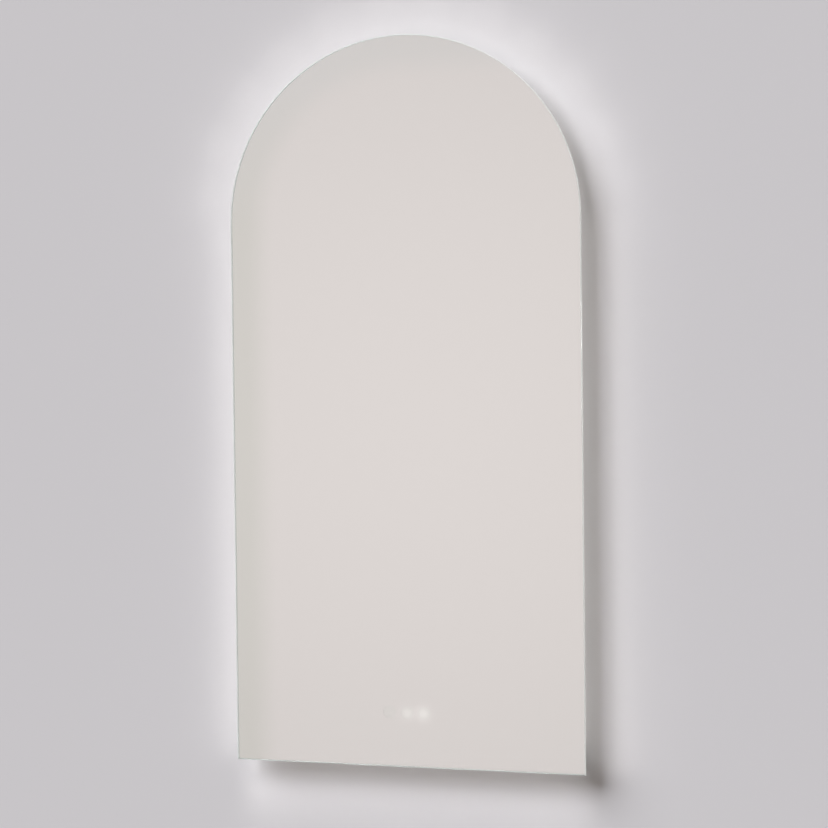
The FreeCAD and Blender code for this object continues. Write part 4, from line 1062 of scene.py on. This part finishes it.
@dataclass
class Studio:
    """A pale wall and floor that fade into a pale background, with their lamps and an even sky.

    Three broad suns light the room, thin lamps carry the mirror's light round its edge, and two panes of a
    window shine in its bevel.
    """

    wall_colour: Colour = (0.584, 0.565, 0.584)
    floor_colour: Colour = (0.40, 0.39, 0.40)
    reflected: Colour = (0.778, 0.722, 0.708)
    brightest: Colour = (-0.294, -0.9555, -0.020)
    dimmest: float = 0.70
    narrowness: float = 20.0
    ambient: float = 0.20
    ambient_colour: Colour = (1.12, 1.0, 0.90)
    suns: tuple[Sun, ...] = (
        Sun("key_lamp", (-0.546, -0.537, 0.644), 1.467, (0.970, 1.0, 1.024)),
        Sun("side_lamp", (0.92, 0.34, 0.20), 0.90),
        Sun("back_lamp", (0.42, 0.86, 0.30), 0.70),
    )
    softness_degrees: float = 42.0
    window_place: Pair = (2.247, -0.49)
    window_towards: Colour = (0.974, -0.225, 0.0)
    window_width: float = 0.30
    window_light: float = 120.0
    upper_pane: Pair = (-0.118, 0.127)
    lower_pane: Pair = (-0.292, 0.077)
    halo_width: float = 0.004
    halo_reach: float = 0.0030
    halo_colour: Colour = (1.0, 0.985, 0.95)
    halo_arch: Lights = (EdgeLight(-0.030, 0.113), EdgeLight(-0.045, 0.0124, 35.0, 40.0))
    halo_left: Lights = (EdgeLight(-0.045, 0.0078, 35.0, 60.0), EdgeLight(-0.045, 0.0237, 60.0, 80.0))
    halo_right: Lights = (EdgeLight(-0.030, 0.0228, 25.0, 40.0), EdgeLight(-0.045, 0.0259, 60.0, 80.0))
    halo_foot: Lights = (EdgeLight(-0.045, 0.0520, 28.0, 56.0), EdgeLight(-0.045, 0.0337, 60.0, 80.0))
    halo_pieces: int = 12
    wall_depth: float = 0.0004
    wall_solid: float = 2.4
    wall_reach: float = 3.4
    floor_height: float = -1.76
    floor_solid: float = 2.6
    floor_reach: float = 5.0
    middle: float = -0.26

    def sheet(self, name: str, corners: list[Colour], colour: Colour, centre: Colour, fade: Pair,
              seen_from_behind: bool) -> None:
        """A flat stage piece that fades out with distance, and that lets light pass where it can't be seen.

        Args:
            name: Its name.
            corners: Its four corners, so that it faces its front.
            colour: Its colour.
            centre: The point that the fade is measured from.
            fade: The distances where the fade starts, and where nothing is left.
            seen_from_behind: Whether its rear side shows too, and whether it holds back light.
        """
        mesh = bpy.data.meshes.new(name)
        mesh.from_pydata(corners, [], [(0, 1, 2, 3)])
        made = put(name, mesh)
        graph = Graph(name)
        graph.drive(Base_Color=colour, Roughness=0.95, Specular_IOR_Level=0.0)
        shown = graph.remap(graph.away_from(centre), *fade, 1.0, 0.0, smooth=True)
        if not seen_from_behind:
            front = graph.maths("SUBTRACT", 1.0, graph.from_behind())
            shown = graph.times(shown, graph.times(graph.seen(), front))
        clear = graph.add("BsdfTransparent")
        mixed = graph.add("MixShader", {0: shown, 1: clear.outputs[0], 2: graph.shader.outputs[0]})
        graph.tree.links.new(mixed.outputs[0], graph.output.inputs["Surface"])
        mesh.materials.append(graph.material)
        made.visible_diffuse = not seen_from_behind

    def shine(self, sun: Sun) -> None:
        """Makes a sun, which isn't seen in the mirror.

        Args:
            sun: The sun.
        """
        lamp = bpy.data.lights.new(sun.name, "SUN")
        lamp.energy = sun.strength * math.pi
        lamp.color = sun.colour
        lamp.angle = math.radians(self.softness_degrees)
        made = put(sun.name, lamp)
        self.aim(made, sun.towards)
        made.visible_glossy = False

    def aim(self, made: bpy.types.Object, towards: Colour) -> None:
        """Turns a lamp so that it shines back along a direction."""
        made.rotation_mode = "QUATERNION"
        made.rotation_quaternion = Vector(towards).to_track_quat("Z", "Y")

    def panel(self, name: str, width: float, length: float, watts: float) -> bpy.types.Object:
        """A flat lamp that isn't seen itself, straight or through glass.

        Args:
            name: Its name.
            width: Its width.
            length: Its length.
            watts: Its power.

        Returns:
            The lamp's object.
        """
        lamp = bpy.data.lights.new(name, "AREA")
        lamp.shape = "RECTANGLE"
        lamp.size, lamp.size_y = width, length
        lamp.energy = watts
        made = put(name, lamp)
        made.visible_camera = made.visible_transmission = False
        return made

    def strip(self, name: str, centre: Pair, outwards: Pair, length: float, light: EdgeLight) -> None:
        """A thin lamp on the plate's edge that faces outwards, and that nothing shows.

        Args:
            name: Its name.
            centre: Its middle, as (x, z).
            outwards: The direction away from the plate there, as (x, z).
            length: Its length along the edge.
            light: Its depth, power, tilt and spread.
        """
        made = self.panel(name, self.halo_width, length, light.watts * length)
        made.data.spread = math.radians(light.spread_degrees)
        made.data.color = self.halo_colour
        made.visible_glossy = False
        tilt = math.radians(light.tilt_degrees)
        across, up = outwards
        behind = -Vector((across * math.cos(tilt), math.sin(tilt), up * math.cos(tilt)))
        along = Vector((-up, 0.0, across))
        turn = Matrix((along.cross(behind), along, behind)).transposed().to_4x4()
        turn.translation = (centre[0], light.depth, centre[1])
        made.matrix_world = turn
        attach(made, MIRROR_BODY)

    def window(self) -> None:
        """Two panes of a far window, off to the right, that only shine in the bevel of the right edge."""
        for name, (height, across) in (("upper", self.upper_pane), ("lower", self.lower_pane)):
            watts = self.window_light * self.window_width * across
            made = self.panel(f"window_{name}", self.window_width, across, watts)
            made.location = (*self.window_place, height)
            self.aim(made, self.window_towards)
            made.visible_diffuse = False

    def halo(self, plate: MirrorPlate) -> None:
        """The mirror's light that bounces between plate and wall, and leaves the gap at the plate's edge.

        Args:
            plate: The plate whose edge the lamps follow.
        """
        r, step = plate.half_width + self.halo_reach, math.pi / self.halo_pieces
        leg = plate.spring - plate.foot
        runs = [
            ("left", (-r, plate.foot + leg / 2), (-1.0, 0.0), leg, self.halo_left),
            ("right", (r, plate.foot + leg / 2), (1.0, 0.0), leg, self.halo_right),
            ("foot", (0.0, plate.foot - self.halo_reach), (0.0, -1.0), 2 * plate.half_width, self.halo_foot),
        ]
        for piece in range(self.halo_pieces):
            x, z = math.cos((piece + 0.5) * step), math.sin((piece + 0.5) * step)
            runs.append((f"arch_{piece + 1}", (r * x, plate.spring + r * z), (x, z), r * step, self.halo_arch))
        for name, centre, outwards, length, lights in runs:
            for number, light in enumerate(lights, start=1):
                self.strip(f"halo_{name}_{number}", centre, outwards, length, light)

    def sky(self) -> None:
        """The world: an even light, the pale background, and the room that the mirror and the metal show.

        The reflected room is brightest opposite the mirror, a little to its left. At the direction d it is
        l + (1 - l) max(d.c, 0)^n of its full level, with c the direction of its brightest point.
        """
        world = bpy.context.scene.world = bpy.data.worlds.new("studio")
        nodes = Nodes(world)

        def background(colour: Colour, strength: object) -> Socket:
            """An even light of one colour."""
            return nodes.add("Background", {"Color": (*colour, 1.0), "Strength": strength}).outputs[0]

        path = nodes.add("LightPath").outputs
        direction = nodes.add("TexCoord").outputs["Generated"]
        ahead = nodes.vector("DOT_PRODUCT", direction, Vector(self.brightest).normalized(), "Value")
        lobe = nodes.maths("POWER", nodes.maths("MAXIMUM", ahead, 0.0), self.narrowness)
        room = background(self.reflected, nodes.maths("MULTIPLY_ADD", lobe, 1.0 - self.dimmest, self.dimmest))
        shown = background(self.ambient_colour, self.ambient)
        seen = background(self.wall_colour, 1.0)
        for ray, light in (("Glossy", room), ("Transmission", room), ("Camera", seen)):
            shown = nodes.add("MixShader", {0: path[f"Is {ray} Ray"], 1: shown, 2: light}).outputs[0]
        nodes.add("OutputWorld", {"Surface": shown})

    def build(self) -> None:
        """Sets the wall, the floor, the lamps and the world."""
        w, f, low, y = self.wall_reach, self.floor_reach, self.floor_height, self.wall_depth
        wall = [(-w, y, low), (w, y, low), (w, y, w), (-w, y, w)]
        floor = [(-f, -f, low), (f, -f, low), (f, f, low), (-f, f, low)]
        self.sheet("pale_wall", wall, self.wall_colour, (0.0, y, self.middle), (self.wall_solid, w), False)
        self.sheet("pale_floor", floor, self.floor_colour, (0.0, 0.0, low), (self.floor_solid, f), True)
        for sun in self.suns:
            self.shine(sun)
        self.window()
        self.halo(MirrorPlate())
        self.sky()


@dataclass
class PhotoCamera:
    """The camera at the photograph's angle: to the right of the mirror, looking a little to the left."""

    focal_px: float = 2186.6
    frame_px: float = 828.0
    sensor_mm: float = 36.0
    yaw_degrees: float = 17.47
    pitch_degrees: float = 1.545
    roll_degrees: float = -0.652
    offset: Colour = (-0.0112, 0.5809, 3.5937)
    aimed_from: Colour = (0.0, -0.040, -0.860)

    def axes(self) -> Points:
        """The camera's right, down and forward axes in the row frame, as rows.

        They are Rz(roll) Rx(pitch) Ry(yaw) M, where M turns the row frame's (X, Y, Z) into (X, -Z, Y).
        """
        y, p, r = (math.radians(a) for a in (self.yaw_degrees, self.pitch_degrees, self.roll_degrees))
        about_y = np.array([[math.cos(y), 0, math.sin(y)], [0, 1, 0], [-math.sin(y), 0, math.cos(y)]])
        about_x = np.array([[1, 0, 0], [0, math.cos(p), -math.sin(p)], [0, math.sin(p), math.cos(p)]])
        about_z = np.array([[math.cos(r), -math.sin(r), 0], [math.sin(r), math.cos(r), 0], [0, 0, 1]])
        to_image = np.array([[1, 0, 0], [0, 0, -1], [0, 1, 0]])
        return about_z @ about_x @ about_y @ to_image

    def build(self) -> None:
        """Makes the scene's camera."""
        axes = self.axes()
        data = bpy.data.cameras.new("photo_camera")
        data.sensor_fit = "HORIZONTAL"
        data.sensor_width = self.sensor_mm
        data.lens = self.focal_px / self.frame_px * self.sensor_mm
        turn = np.eye(4)
        turn[:3, :3] = np.stack([axes[0], -axes[1], -axes[2]], -1)
        turn[:3, 3] = np.array(self.aimed_from) - axes.T @ np.array(self.offset)
        made = put("photo_camera", data)
        made.matrix_world = Matrix(turn.tolist())
        bpy.context.scene.camera = made


def main() -> None:
    """Builds each sub-assembly in turn, then the stage and the camera."""
    logging.basicConfig(level=logging.INFO, format="%(message)s")
    PhotoCamera().build()
    for part in (MirrorPlate(), FrameRing(), LightRing(), Hanging(), Supply(), TouchSwitch()):
        part.build()
        LOG.info("%s is in place", type(part).__name__)
    bpy.context.scene.view_settings.view_transform = "Standard"
    Studio().build()


if __name__ == "__main__":
    main()
